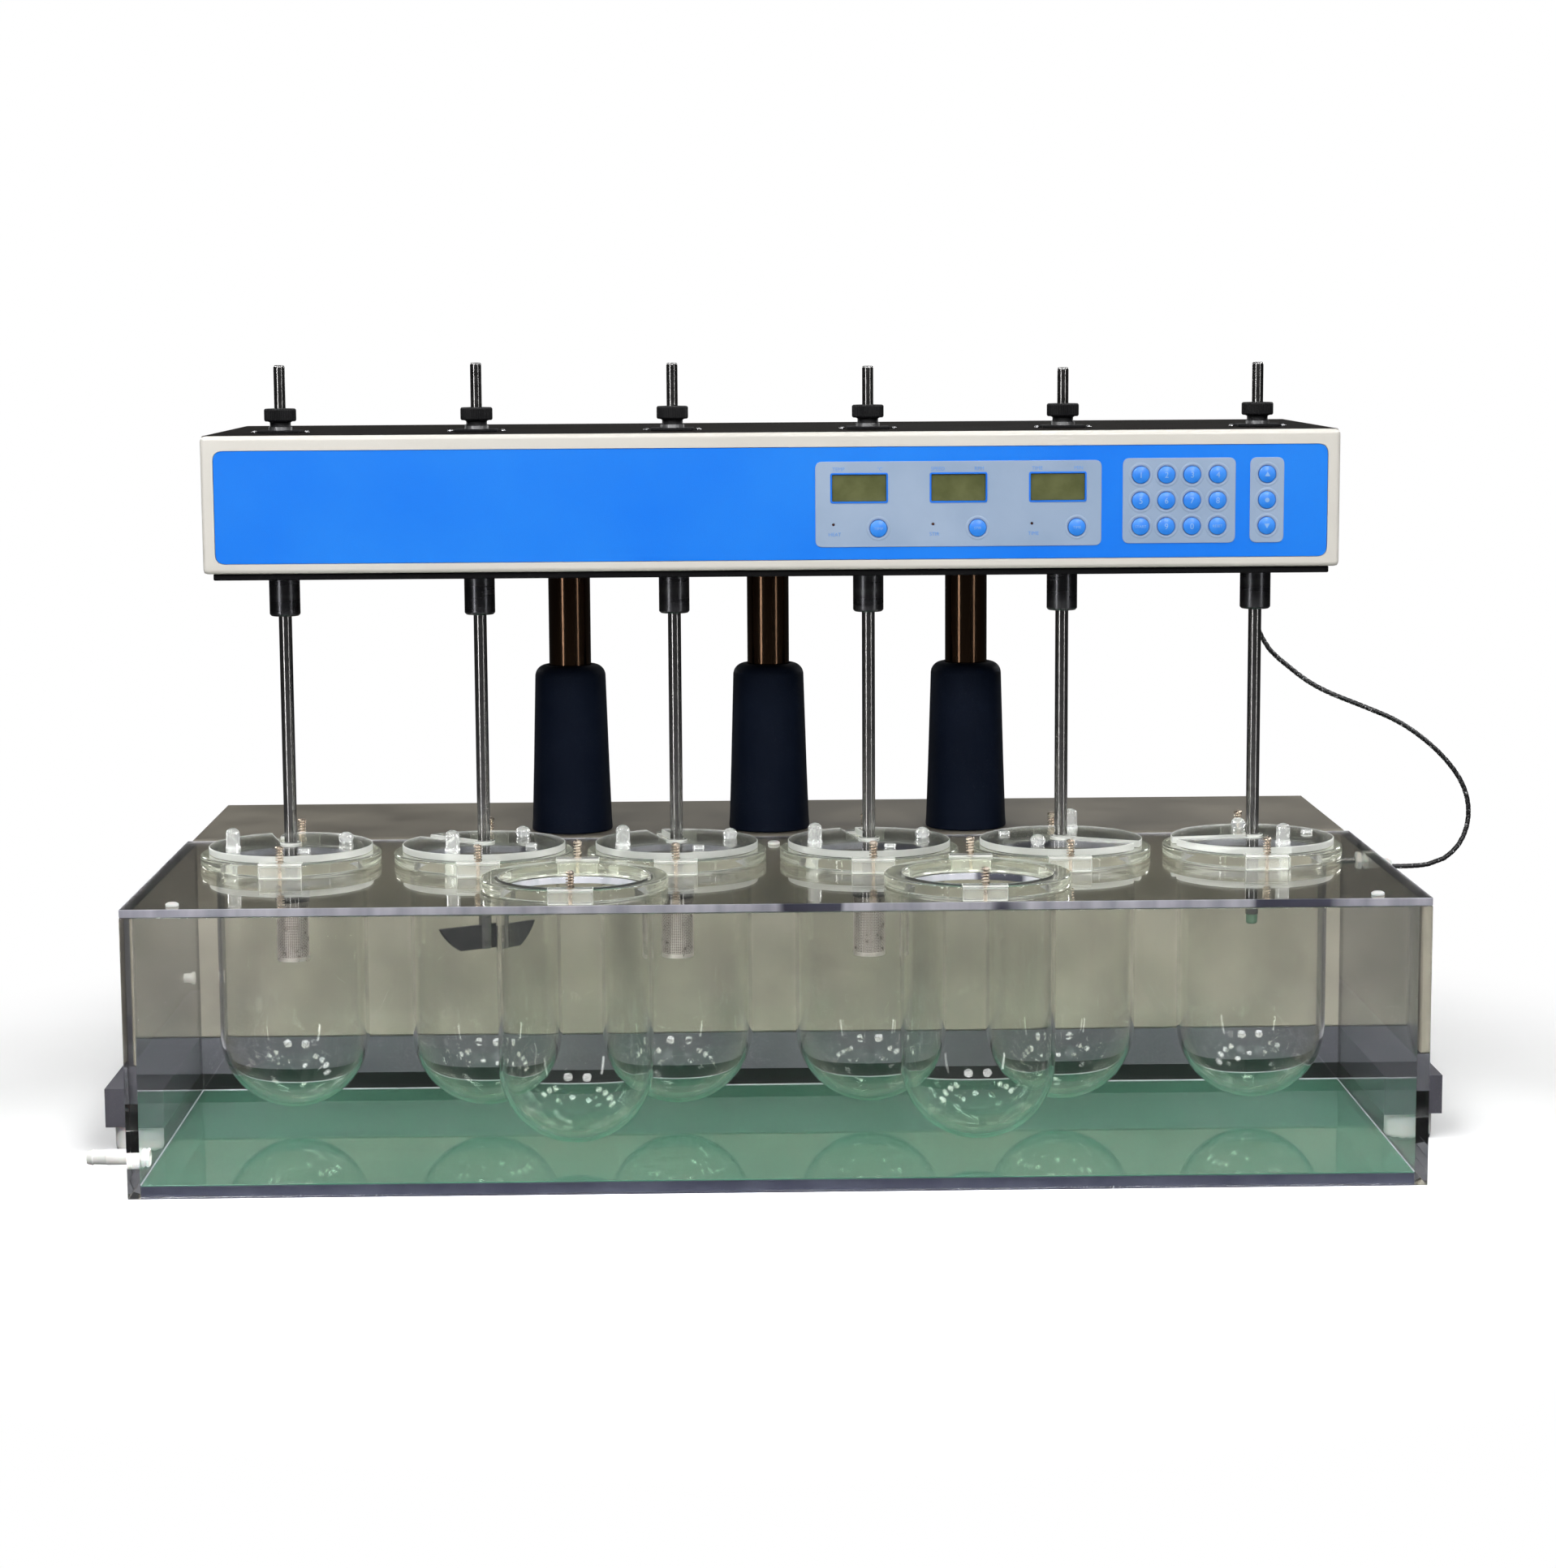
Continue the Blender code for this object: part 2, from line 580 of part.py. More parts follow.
def make_plinth():
    """Dark base plate under the cabinet, with an arm along each side of the bath and four feet."""
    half = PLINTH_WIDTH / 2
    plinth = add_part(
        "base_plinth",
        box_mesh("base_plinth", (-half, FRONT_Y + ARM_FROM_FRONT, PLINTH_BOTTOM), (half, BACK_Y, PLINTH_TOP)),
        "plinth_paint",
    )
    inner = half - ARM_WIDTH
    bay = box_mesh(
        "bath_bay",
        (-inner, FRONT_Y, PLINTH_BOTTOM - OVERRUN),
        (inner, CABINET_FRONT_Y, PLINTH_TOP + OVERRUN),
    )
    combine(plinth, add_cutter("bath_bay", bay), "DIFFERENCE")
    foot_x = half - FOOT_INSET
    front_foot_y = FRONT_Y + ARM_FROM_FRONT + FOOT_INSET
    rear_foot_y = BACK_Y - REAR_FOOT_INSET
    places = [(side * foot_x, y) for side in (-1, 1) for y in (front_foot_y, rear_foot_y)]
    feet = cylinders_mesh("feet", places, FOOT_RADIUS, 0, PLINTH_BOTTOM + SINK, SMALL_SIDES)
    combine(plinth, add_cutter("feet", feet), "UNION")


def make_cabinet():
    """Painted sheet cabinet behind the bath, open below, with a hole for each column."""
    half = CABINET_WIDTH / 2
    bottom = PLINTH_TOP + GAP
    cabinet = add_part(
        "cabinet_shell",
        box_mesh("cabinet_shell", (-half, CABINET_FRONT_Y, bottom), (half, BACK_Y, CABINET_TOP)),
        "cabinet_paint",
    )
    edge = cabinet.modifiers.new("rounded_edges", "BEVEL")
    edge.width = CABINET_EDGE_RADIUS
    edge.segments = 1
    inside = box_mesh(
        "cabinet_inside",
        (-half + CABINET_SHEET, CABINET_FRONT_Y + CABINET_SHEET, bottom - OVERRUN),
        (half - CABINET_SHEET, BACK_Y - CABINET_SHEET, CABINET_TOP - CABINET_SHEET),
    )
    combine(cabinet, add_cutter("cabinet_inside", inside), "DIFFERENCE")
    holes = cylinders_mesh(
        "cabinet_holes",
        [(x, COLUMN_Y) for x in COLUMN_X],
        COLUMN_HOLE_RADIUS,
        CABINET_TOP - CABINET_SHEET - OVERRUN,
        CABINET_TOP + OVERRUN,
        ROUND_SIDES,
    )
    combine(cabinet, add_cutter("cabinet_holes", holes), "DIFFERENCE")
    inlet_x = half - INLET_FROM_SIDE
    inlet_z = PLINTH_TOP + INLET_ABOVE_PLINTH
    for name, margin, front, back, operation in (
        ("inlet_body", INLET_WALL, BACK_Y - INLET_DEPTH - INLET_WALL, BACK_Y - CABINET_SHEET / 2, "UNION"),
        ("inlet_socket", 0, BACK_Y - INLET_DEPTH, BACK_Y + OVERRUN, "DIFFERENCE"),
    ):
        low = (inlet_x - INLET_WIDTH / 2 - margin, front, inlet_z - margin)
        high = (inlet_x + INLET_WIDTH / 2 + margin, back, inlet_z + INLET_HEIGHT + margin)
        combine(cabinet, add_cutter(name, box_mesh(name, low, high)), operation)


def make_boots():
    """Tapered rubber sleeve round each column, standing on the cabinet."""
    shoulder = arc(
        BOOT_SHOULDER,
        90,
        0,
        BOOT_SHOULDER_STEPS,
        (BOOT_TOP_RADIUS - BOOT_SHOULDER, BOOT_HEIGHT - BOOT_SHOULDER),
    )
    outline = [
        (COLUMN_HOLE_RADIUS, BOOT_HEIGHT),
        *shoulder,
        (BOOT_BOTTOM_RADIUS, 0),
        (COLUMN_HOLE_RADIUS, 0),
    ]
    mesh = profile_mesh("column_boot", ring_profile(outline))
    for name, x in zip(("left", "middle", "right"), COLUMN_X):
        boot = add_part(f"column_boot_{name}", mesh, "black_rubber", (x, COLUMN_Y, BOOT_BOTTOM))
        turn_about_z(boot, ROUND_SIDES)


def make_tank():
    """Clear acrylic bath, open on top under the lid, with a hole for the drain and one for the cable gland."""
    half = TANK_WIDTH / 2
    back = FRONT_Y + TANK_DEPTH
    tank = add_part(
        "bath_tank",
        box_mesh("bath_tank", (-half, FRONT_Y, 0), (half, back, TANK_TOP)),
        "clear_acrylic",
    )
    inside = box_mesh(
        "tank_inside",
        (-half + TANK_WALL, FRONT_Y + TANK_WALL, TANK_WALL),
        (half - TANK_WALL, back - TANK_WALL, TANK_TOP + OVERRUN),
    )
    combine(tank, add_cutter("tank_inside", inside), "DIFFERENCE")
    for name, side, radius, from_front, height in (
        ("drain_hole", -1, DRAIN_THREAD_RADIUS, DRAIN_FROM_FRONT, DRAIN_HEIGHT),
        ("gland_hole", 1, GLAND_THREAD_RADIUS, GLAND_FROM_FRONT, GLAND_HEIGHT),
    ):
        reach = TANK_WALL / 2 + OVERRUN
        mesh = cylinders_mesh(name, [(0, 0)], radius + GAP, -reach, reach, SMALL_SIDES)
        hole = add_cutter(name, mesh, (side * (half - TANK_WALL / 2), FRONT_Y + from_front, height))
        hole.rotation_euler = (0, math.radians(90), 0)
        combine(tank, hole, "DIFFERENCE")


def clip_outline():
    """Side view of a clip: a block on the lid with a lap that reaches over the flange."""
    outer = CLIP_DEPTH
    lap_bottom = FLANGE_TOP + GAP
    lap_top = lap_bottom + CLIP_LAP_THICKNESS
    return [
        (GAP, BATH_HEIGHT - SINK),
        (outer, BATH_HEIGHT - SINK),
        (outer, lap_top),
        (-CLIP_LAP, lap_top),
        (-CLIP_LAP, lap_bottom),
        (GAP, lap_bottom),
    ]


def make_lid():
    """Clear lid with a hole for each vessel, and in front of and behind each hole a clip with its screw."""
    half = TANK_WIDTH / 2
    lid = add_part(
        "bath_lid",
        box_mesh("bath_lid", (-half, FRONT_Y, LID_BOTTOM), (half, FRONT_Y + TANK_DEPTH, BATH_HEIGHT)),
        "clear_acrylic",
    )
    holes = cylinders_mesh(
        "vessel_holes",
        VESSEL_PLACES,
        VESSEL_RADIUS + VESSEL_HOLE_CLEARANCE,
        LID_BOTTOM - OVERRUN,
        BATH_HEIGHT + OVERRUN,
        ROUND_SIDES,
    )
    combine(lid, add_cutter("vessel_holes", holes), "DIFFERENCE")
    clip = stand_up(plate_mesh("clip", clip_outline(), CLIP_WIDTH))
    blocks = bmesh.new()
    screw_places = []
    for x, y in VESSEL_PLACES:
        for side in (-1, 1):
            reach = side * FLANGE_RADIUS
            one = clip.copy()
            one.transform(Matrix.Translation((x, y + reach, 0)) @ Matrix.Rotation(math.radians(90 * side), 4, "Z"))
            blocks.from_mesh(one)
            screw_places.append((x, y + reach + side * (GAP + CLIP_DEPTH) / 2))
    combine(lid, add_cutter("clip_blocks", mesh_from(blocks, "clip_blocks")), "UNION")
    lap_top = FLANGE_TOP + GAP + CLIP_LAP_THICKNESS
    screws = cylinders_mesh(
        "clip_screws",
        screw_places,
        CLIP_SCREW_RADIUS,
        lap_top - SINK,
        lap_top + CLIP_SCREW_HEIGHT,
        SCREW_SIDES,
    )
    combine(lid, add_cutter("clip_screws", screws), "UNION")


def vessel_outline():
    """Round-bottomed vessel with a flange, from the middle of the bowl up the inside and down the outside."""
    length = VESSEL_LENGTH
    centre = (0, VESSEL_RADIUS)
    inner = VESSEL_RADIUS - VESSEL_WALL
    under_flange = length - FLANGE_THICKNESS
    return [
        *arc(inner, -90, 0, BOWL_STEPS, centre),
        (inner, length),
        (FLANGE_RADIUS, length),
        (FLANGE_RADIUS, under_flange),
        (VESSEL_RADIUS, under_flange),
        *arc(VESSEL_RADIUS, 0, -90, BOWL_STEPS, centre),
    ]


def make_vessels():
    """Glass vessels: one under each station, and the spares in front."""
    mesh = profile_mesh("vessel", vessel_outline())
    for i, (x, y) in enumerate(VESSEL_PLACES):
        vessel = add_part(f"vessel_{i + 1}", mesh, "glass", (x, y, VESSEL_BOTTOM))
        turn_about_z(vessel, ROUND_SIDES)


def make_cover(number, x, turn):
    """Slotted cover on a vessel, with its hub, a plug rod, a plug knob and a small cap."""
    name = f"vessel_cover_{number}"
    disc = cylinders_mesh(name, [(0, 0)], COVER_RADIUS, 0, COVER_THICKNESS, ROUND_SIDES)
    cover = add_part(name, disc, "frosted_acrylic", (x, STIRRED_ROW_Y, COVER_BOTTOM))
    here = cover.location
    hub_top = COVER_THICKNESS + COVER_HUB_HEIGHT
    fittings = (
        ("hub", 0, 0, COVER_HUB_RADIUS, COVER_THICKNESS - SINK, hub_top),
        (
            "rod",
            PLUG_ROD_REACH,
            PLUG_ROD_ANGLE,
            PLUG_ROD_RADIUS,
            -PLUG_ROD_BELOW,
            COVER_THICKNESS + PLUG_ROD_ABOVE,
        ),
        (
            "knob",
            PLUG_KNOB_REACH,
            PLUG_KNOB_ANGLE,
            PLUG_KNOB_RADIUS,
            COVER_THICKNESS - SINK,
            COVER_THICKNESS + PLUG_KNOB_HEIGHT,
        ),
        (
            "cap",
            PLUG_CAP_REACH,
            PLUG_CAP_ANGLE,
            PLUG_CAP_RADIUS,
            COVER_THICKNESS - SINK,
            COVER_THICKNESS + PLUG_CAP_HEIGHT,
        ),
    )
    for label, reach, angle, radius, low, high in fittings:
        spot = on_circle(reach, angle + turn)
        shape = cylinders_mesh(f"{label}_{number}", [spot], radius, low, high, SCREW_SIDES)
        combine(cover, add_cutter(f"{label}_{number}", shape, here), "UNION")
    bore = cylinders_mesh(
        f"cover_bore_{number}", [(0, 0)], COVER_HOLE_RADIUS, -OVERRUN, hub_top + OVERRUN, SMALL_SIDES
    )
    combine(cover, add_cutter(f"cover_bore_{number}", bore, here), "DIFFERENCE")
    slot_mesh = box_mesh(
        f"cover_slot_{number}",
        (0, -COVER_HOLE_RADIUS, -OVERRUN),
        (COVER_RADIUS + OVERRUN, COVER_HOLE_RADIUS, hub_top + OVERRUN),
    )
    slot = add_cutter(f"cover_slot_{number}", slot_mesh, here)
    slot.rotation_euler = (0, 0, math.radians(SLOT_ANGLE + turn))
    combine(cover, slot, "DIFFERENCE")


def spindle_outline():
    """Steel sleeve under the head, tube with the belt pulley inside it, and the knurled nut on top."""
    return [
        (STEM_BORE_RADIUS, NUT_TOP),
        (NUT_RADIUS, NUT_TOP),
        (NUT_RADIUS, NUT_BOTTOM),
        (SPINDLE_RADIUS, NUT_BOTTOM),
        (SPINDLE_RADIUS, PULLEY_TOP),
        (PULLEY_RADIUS, PULLEY_TOP),
        (PULLEY_RADIUS, PULLEY_BOTTOM),
        (SPINDLE_RADIUS, PULLEY_BOTTOM),
        (SPINDLE_RADIUS, SLEEVE_TOP),
        (SLEEVE_RADIUS, SLEEVE_TOP),
        (SLEEVE_RADIUS, SLEEVE_BOTTOM + SLEEVE_CHAMFER),
        (SLEEVE_RADIUS - SLEEVE_CHAMFER, SLEEVE_BOTTOM),
        (SHAFT_BORE_RADIUS, SLEEVE_BOTTOM),
        (SHAFT_BORE_RADIUS, BORE_STEP_HEIGHT),
        (STEM_BORE_RADIUS, BORE_STEP_HEIGHT),
    ]


def make_spindles(head):
    """One hollow spindle for each station, turning about the station's axis."""
    mesh = profile_mesh("spindle", [(r, z - HEAD_BOTTOM) for r, z in ring_profile(spindle_outline())])
    made = []
    for i, x in enumerate(STATION_X):
        spindle = add_part(f"spindle_{i + 1}", mesh, "steel", (x, STIRRED_ROW_Y, HEAD_BOTTOM), head)
        made.append(turn_about_z(spindle, SMALL_SIDES))
    return made


def stem_outline(top):
    """The upper end of a stirrer shaft: the thin stem with its rounded top, down to the step."""
    return [
        (0, top),
        (STEM_RADIUS - STEM_TIP_ROUND, top),
        (STEM_RADIUS, top - STEM_TIP_ROUND),
        (STEM_RADIUS, STEM_STEP_HEIGHT),
        (SHAFT_RADIUS, STEM_STEP_HEIGHT),
    ]


def stirrer_outline(tool, top):
    """Profile of a stirrer shaft with what is round at its lower end."""
    basket_top = BASKET_BOTTOM + BASKET_LENGTH
    lower_ends = {
        "basket": [
            (SHAFT_RADIUS, basket_top + BASKET_CAP_HEIGHT),
            (BASKET_CAP_RADIUS, basket_top + BASKET_CAP_HEIGHT),
            (BASKET_CAP_RADIUS, basket_top),
            (BASKET_RADIUS, basket_top),
            (BASKET_RADIUS, BASKET_BOTTOM),
            (0, BASKET_BOTTOM),
        ],
        "paddle": [(SHAFT_RADIUS, PADDLE_BOTTOM), (0, PADDLE_BOTTOM)],
        "short": [(SHAFT_RADIUS, SHORT_SHAFT_END), (0, SHORT_SHAFT_END)],
        "bare": [
            (SHAFT_RADIUS, BARE_SHAFT_END + BARE_TIP_LENGTH),
            (BARE_TIP_RADIUS, BARE_SHAFT_END + BARE_TIP_LENGTH),
            (BARE_TIP_RADIUS, BARE_SHAFT_END),
            (0, BARE_SHAFT_END),
        ],
    }
    return stem_outline(top) + lower_ends[tool]


def paddle_mesh():
    """Blade between two chords of one circle, the longer chord on top."""
    top_angle = -math.degrees(math.acos(PADDLE_TOP_CHORD_SHARE))
    bottom_angle = -math.degrees(math.acos(PADDLE_BOTTOM_CHORD_SHARE))
    side = arc(PADDLE_ARC_RADIUS, bottom_angle, top_angle, PADDLE_ARC_STEPS)
    lift = -side[0][1] - SINK
    right = [(x, z + lift) for x, z in side]
    left = [(-x, z) for x, z in reversed(right)]
    return stand_up(plate_mesh("paddle_blade", right + left, PADDLE_THICKNESS))


def make_stirrers(spindles):
    """One shaft with its tool for each station, sliding in the spindle when the nut is slack."""
    for i, (tool, rise, spindle) in enumerate(zip(TOOLS, STEM_ABOVE_NUT, spindles)):
        where = (STATION_X[i], STIRRED_ROW_Y, HEAD_BOTTOM)
        points = [(r, z - HEAD_BOTTOM) for r, z in stirrer_outline(tool, NUT_TOP + rise)]
        mesh = profile_mesh(f"stirrer_{i + 1}", points)
        stirrer = turn_about_z(add_part(f"stirrer_{i + 1}", mesh, "steel", where, spindle), SMALL_SIDES)
        if tool == "paddle":
            blade = add_cutter("paddle_blade", paddle_mesh(), (where[0], where[1], PADDLE_BOTTOM))
            blade.rotation_euler = (0, 0, math.radians(PADDLE_TURN))
            combine(stirrer, blade, "UNION")


def make_head_case(head):
    """Beige casing of the head: front frame with the panel's window, two sides and a back."""
    half = HEAD_WIDTH / 2
    case = add_part(
        "head_case",
        box_mesh("head_case", (-half, HEAD_FRONT_Y, HEAD_BOTTOM), (half, HEAD_BACK_Y, HEAD_TOP)),
        "beige_paint",
    )
    edge = case.modifiers.new("rounded_edges", "BEVEL")
    edge.width = HEAD_EDGE_RADIUS
    edge.segments = 2
    inside = box_mesh(
        "head_inside",
        (-half + HEAD_SHEET, HEAD_FRONT_Y + HEAD_FRAME_THICKNESS, HEAD_BOTTOM - OVERRUN),
        (half - HEAD_SHEET, HEAD_BACK_Y - HEAD_SHEET, HEAD_TOP + OVERRUN),
    )
    combine(case, add_cutter("head_inside", inside), "DIFFERENCE")
    seat = box_mesh(
        "top_plate_seat",
        (-half - OVERRUN, HEAD_FRONT_Y + HEAD_FRAME_THICKNESS, CASE_TOP),
        (half + OVERRUN, HEAD_BACK_Y + OVERRUN, HEAD_TOP + OVERRUN),
    )
    combine(case, add_cutter("top_plate_seat", seat), "DIFFERENCE")
    window = stand_up(
        plate_mesh(
            "panel_window",
            rounded_outline(PANEL_WIDTH + 2 * GAP, PANEL_HEIGHT + 2 * GAP, PANEL_CORNER + GAP),
            HEAD_FRAME_THICKNESS + 2 * OVERRUN,
        )
    )
    middle = (0, HEAD_FRONT_Y + HEAD_FRAME_THICKNESS / 2, PANEL_TOP - PANEL_HEIGHT / 2)
    combine(case, add_cutter("panel_window", window, middle), "DIFFERENCE")
    place(case, (0, 0, 0), head)


def make_head_plates(head):
    """Top plate with a bearing pad at each spindle, and the black base plate that carries spindles and columns."""
    half = HEAD_WIDTH / 2
    top = add_part(
        "head_top_plate",
        box_mesh(
            "head_top_plate",
            (-half, HEAD_FRONT_Y + HEAD_FRAME_THICKNESS + GAP, TOP_PLATE_BOTTOM),
            (half, HEAD_BACK_Y, HEAD_TOP),
        ),
        "dark_paint",
        parent=head,
    )
    pads = bmesh.new()
    for x in STATION_X:
        spot = Matrix.Translation((x, STIRRED_ROW_Y, (HEAD_TOP - SINK + PAD_TOP) / 2))
        size = Matrix.Diagonal((BEARING_PAD_WIDTH, BEARING_PAD_DEPTH, BEARING_PAD_HEIGHT + SINK, 1))
        bmesh.ops.create_cube(pads, size=1, matrix=spot @ size)
    combine(top, add_cutter("bearing_pads", mesh_from(pads, "bearing_pads")), "UNION")
    base = add_part(
        "head_base_plate",
        box_mesh(
            "head_base_plate",
            (-half + BASE_PLATE_INSET, HEAD_FRONT_Y + BASE_PLATE_INSET, BASE_PLATE_BOTTOM),
            (half - BASE_PLATE_INSET, HEAD_BACK_Y - HEAD_SHEET, BASE_PLATE_TOP),
        ),
        "black_paint",
        parent=head,
    )
    stations = [(x, STIRRED_ROW_Y) for x in STATION_X]
    for plate, low, high in (
        (top, TOP_PLATE_BOTTOM, PAD_TOP),
        (base, BASE_PLATE_BOTTOM, BASE_PLATE_TOP),
    ):
        name = f"spindle_holes_{plate.name}"
        holes = cylinders_mesh(
            name, stations, SPINDLE_HOLE_RADIUS, low - OVERRUN, high + OVERRUN, SMALL_SIDES
        )
        combine(plate, add_cutter(name, holes), "DIFFERENCE")


def panel_plates():
    """Left edge, top edge, width and height of each raised plate on the panel, from the panel's top left."""
    return (
        (DISPLAY_PLATE_LEFT, DISPLAY_PLATE_TOP, DISPLAY_PLATE_WIDTH, DISPLAY_PLATE_HEIGHT),
        (KEYPAD_PLATE_LEFT, KEYPAD_PLATE_TOP, KEYPAD_PLATE_WIDTH, KEYPAD_PLATE_HEIGHT),
        (ARROW_PLATE_LEFT, KEYPAD_PLATE_TOP, ARROW_PLATE_WIDTH, KEYPAD_PLATE_HEIGHT),
    )


def key_places():
    """Name, x and z of every key: the keypad row by row, the mode keys and the arrow keys."""
    left = -PANEL_WIDTH / 2
    rows_middle = PANEL_TOP - KEYPAD_PLATE_TOP - KEYPAD_PLATE_HEIGHT / 2
    row_z = [rows_middle + KEY_PITCH * ((KEYPAD_ROWS - 1) / 2 - row) for row in range(KEYPAD_ROWS)]
    pad_middle = left + KEYPAD_PLATE_LEFT + KEYPAD_PLATE_WIDTH / 2
    names = ("1", "2", "3", "4", "5", "6", "7", "8", "start", "9", "0", "reset")
    places = []
    for i, name in enumerate(names):
        row, column = divmod(i, KEYPAD_COLUMNS)
        x = pad_middle + KEY_PITCH * (column - (KEYPAD_COLUMNS - 1) / 2)
        places.append((f"key_{name}", x, row_z[row]))
    for i, name in enumerate(("temperature", "speed", "time")):
        x = left + DISPLAY_PLATE_LEFT + MODE_KEY_FIRST + i * DISPLAY_PITCH
        places.append((f"key_{name}", x, PANEL_TOP - DISPLAY_PLATE_TOP - MODE_KEY_DROP))
    arrow_x = left + ARROW_PLATE_LEFT + ARROW_PLATE_WIDTH / 2
    for name, z in zip(("up", "stop", "down"), row_z):
        places.append((f"key_{name}", arrow_x, z))
    return places


def make_panel(head):
    """Blue panel with three raised plates, a window for each display and a pocket for each key."""
    left = -PANEL_WIDTH / 2
    middle = Vector((0, PANEL_FRONT_Y + PANEL_THICKNESS / 2, PANEL_TOP - PANEL_HEIGHT / 2))
    board = stand_up(
        plate_mesh("control_panel", rounded_outline(PANEL_WIDTH, PANEL_HEIGHT, PANEL_CORNER), PANEL_THICKNESS)
    )
    panel = add_part("control_panel", board, "blue_film", middle, head)
    for i, (edge, drop, width, height) in enumerate(panel_plates()):
        thickness = PLATE_RISE + SINK
        mesh = stand_up(plate_mesh("raised_plate", rounded_outline(width, height, PLATE_CORNER), thickness))
        where = (left + edge + width / 2, PLATE_FRONT_Y + thickness / 2, PANEL_TOP - drop - height / 2)
        combine(panel, add_cutter(f"raised_plate_{i + 1}", mesh, where), "UNION")
    windows = bmesh.new()
    for i in range(DISPLAY_COUNT):
        x = left + DISPLAY_PLATE_LEFT + DISPLAY_FIRST + i * DISPLAY_PITCH
        z = PANEL_TOP - DISPLAY_PLATE_TOP - DISPLAY_DROP
        depth = DISPLAY_DEPTH + OVERRUN
        spot = Matrix.Translation((x, PLATE_FRONT_Y + DISPLAY_DEPTH - depth / 2, z))
        bmesh.ops.create_cube(
            windows, size=1, matrix=spot @ Matrix.Diagonal((DISPLAY_WIDTH, depth, DISPLAY_HEIGHT, 1))
        )
    combine(panel, add_cutter("display_windows", mesh_from(windows, "display_windows")), "DIFFERENCE")
    spots = [(x, z) for _, x, z in key_places()]
    low, high = -OVERRUN, KEY_POCKET_DEPTH
    pockets = cylinders_mesh("key_pockets", spots, KEY_RADIUS + GAP, low, high, KEY_SIDES)
    pockets.transform(Matrix(((1, 0, 0, 0), (0, 0, 1, 0), (0, 1, 0, 0), (0, 0, 0, 1))))
    pockets.flip_normals()
    combine(panel, add_cutter("key_pockets", pockets, (0, PLATE_FRONT_Y, 0)), "DIFFERENCE")


def make_keys(head):
    """Domed push keys, each with its origin on its own axis at the face of the plate."""
    dome_radius = (KEY_RADIUS**2 + (KEY_DOME - KEY_EDGE_RISE) ** 2) / (2 * (KEY_DOME - KEY_EDGE_RISE))
    edge_angle = math.degrees(math.asin(KEY_RADIUS / dome_radius))
    dome = arc(dome_radius, 90, 90 - edge_angle, KEY_DOME_STEPS, (0, KEY_DOME - dome_radius))
    mesh = profile_mesh("key", [*dome, (KEY_RADIUS, -KEY_BODY), (0, -KEY_BODY)])
    for name, x, z in key_places():
        key = turn_about_z(add_part(name, mesh, "blue_key", (x, PLATE_FRONT_Y, z), head), KEY_SIDES)
        key.rotation_euler = (math.radians(90), 0, 0)


def make_lift_frame(head):
    """Three polished columns under the head, joined by a cross beam inside the cabinet."""
    beam_half = COLUMN_SPACING * (COLUMN_COUNT - 1) / 2 + COLUMN_RADIUS + BEAM_END_MARGIN
    beam_depth = 2 * (COLUMN_RADIUS + BEAM_SIDE_MARGIN)
    frame = add_part(
        "lift_columns",
        box_mesh(
            "lift_columns",
            (-beam_half, COLUMN_Y - beam_depth / 2, COLUMN_BOTTOM - BEAM_HEIGHT),
            (beam_half, COLUMN_Y + beam_depth / 2, COLUMN_BOTTOM),
        ),
        "bronze",
        parent=head,
    )
    columns = cylinders_mesh(
        "columns",
        [(x, COLUMN_Y) for x in COLUMN_X],
        COLUMN_RADIUS,
        COLUMN_BOTTOM - SINK,
        COLUMN_TOP,
        ROUND_SIDES,
    )
    combine(frame, add_cutter("columns", columns), "UNION")


def make_motor(head):
    """Gear motor that stands on the base plate between the middle stations, with its belt pulley."""
    bottom = BASE_PLATE_TOP + GAP
    body_top = PULLEY_BOTTOM - MOTOR_SHAFT_LENGTH
    outline = [
        (0, PULLEY_TOP),
        (MOTOR_PULLEY_RADIUS, PULLEY_TOP),
        (MOTOR_PULLEY_RADIUS, PULLEY_BOTTOM),
        (MOTOR_SHAFT_RADIUS, PULLEY_BOTTOM),
        (MOTOR_SHAFT_RADIUS, body_top),
        (MOTOR_RADIUS, body_top),
        (MOTOR_RADIUS, bottom),
        (0, bottom),
    ]
    mesh = profile_mesh("drive_motor", [(r, z - bottom) for r, z in outline])
    where = (0, STIRRED_ROW_Y + MOTOR_BEHIND_ROW, bottom)
    turn_about_z(add_part("drive_motor", mesh, "black_paint", where, head), SMALL_SIDES)


def make_drain():
    """Nylon hose fitting clamped through the left wall: nut inside, flange and nozzle outside."""
    outline = [
        (DRAIN_BORE_RADIUS, DRAIN_REACH),
        (DRAIN_TIP_RADIUS, DRAIN_REACH),
        (DRAIN_NOZZLE_RADIUS, DRAIN_REACH - DRAIN_TIP_LENGTH),
        (DRAIN_NOZZLE_RADIUS, GAP + DRAIN_FLANGE_LENGTH),
        (DRAIN_FLANGE_RADIUS, GAP + DRAIN_FLANGE_LENGTH),
        (DRAIN_FLANGE_RADIUS, GAP),
        (DRAIN_THREAD_RADIUS, GAP),
        (DRAIN_THREAD_RADIUS, -TANK_WALL - GAP),
        (DRAIN_NUT_RADIUS, -TANK_WALL - GAP),
        (DRAIN_NUT_RADIUS, -TANK_WALL - GAP - DRAIN_NUT_LENGTH),
        (DRAIN_BORE_RADIUS, -TANK_WALL - GAP - DRAIN_NUT_LENGTH),
    ]
    where = (-TANK_WIDTH / 2, FRONT_Y + DRAIN_FROM_FRONT, DRAIN_HEIGHT)
    mesh = profile_mesh("drain_fitting", ring_profile(outline))
    drain = turn_about_z(add_part("drain_fitting", mesh, "white_nylon", where), SMALL_SIDES)
    drain.rotation_euler = (0, math.radians(-90), 0)


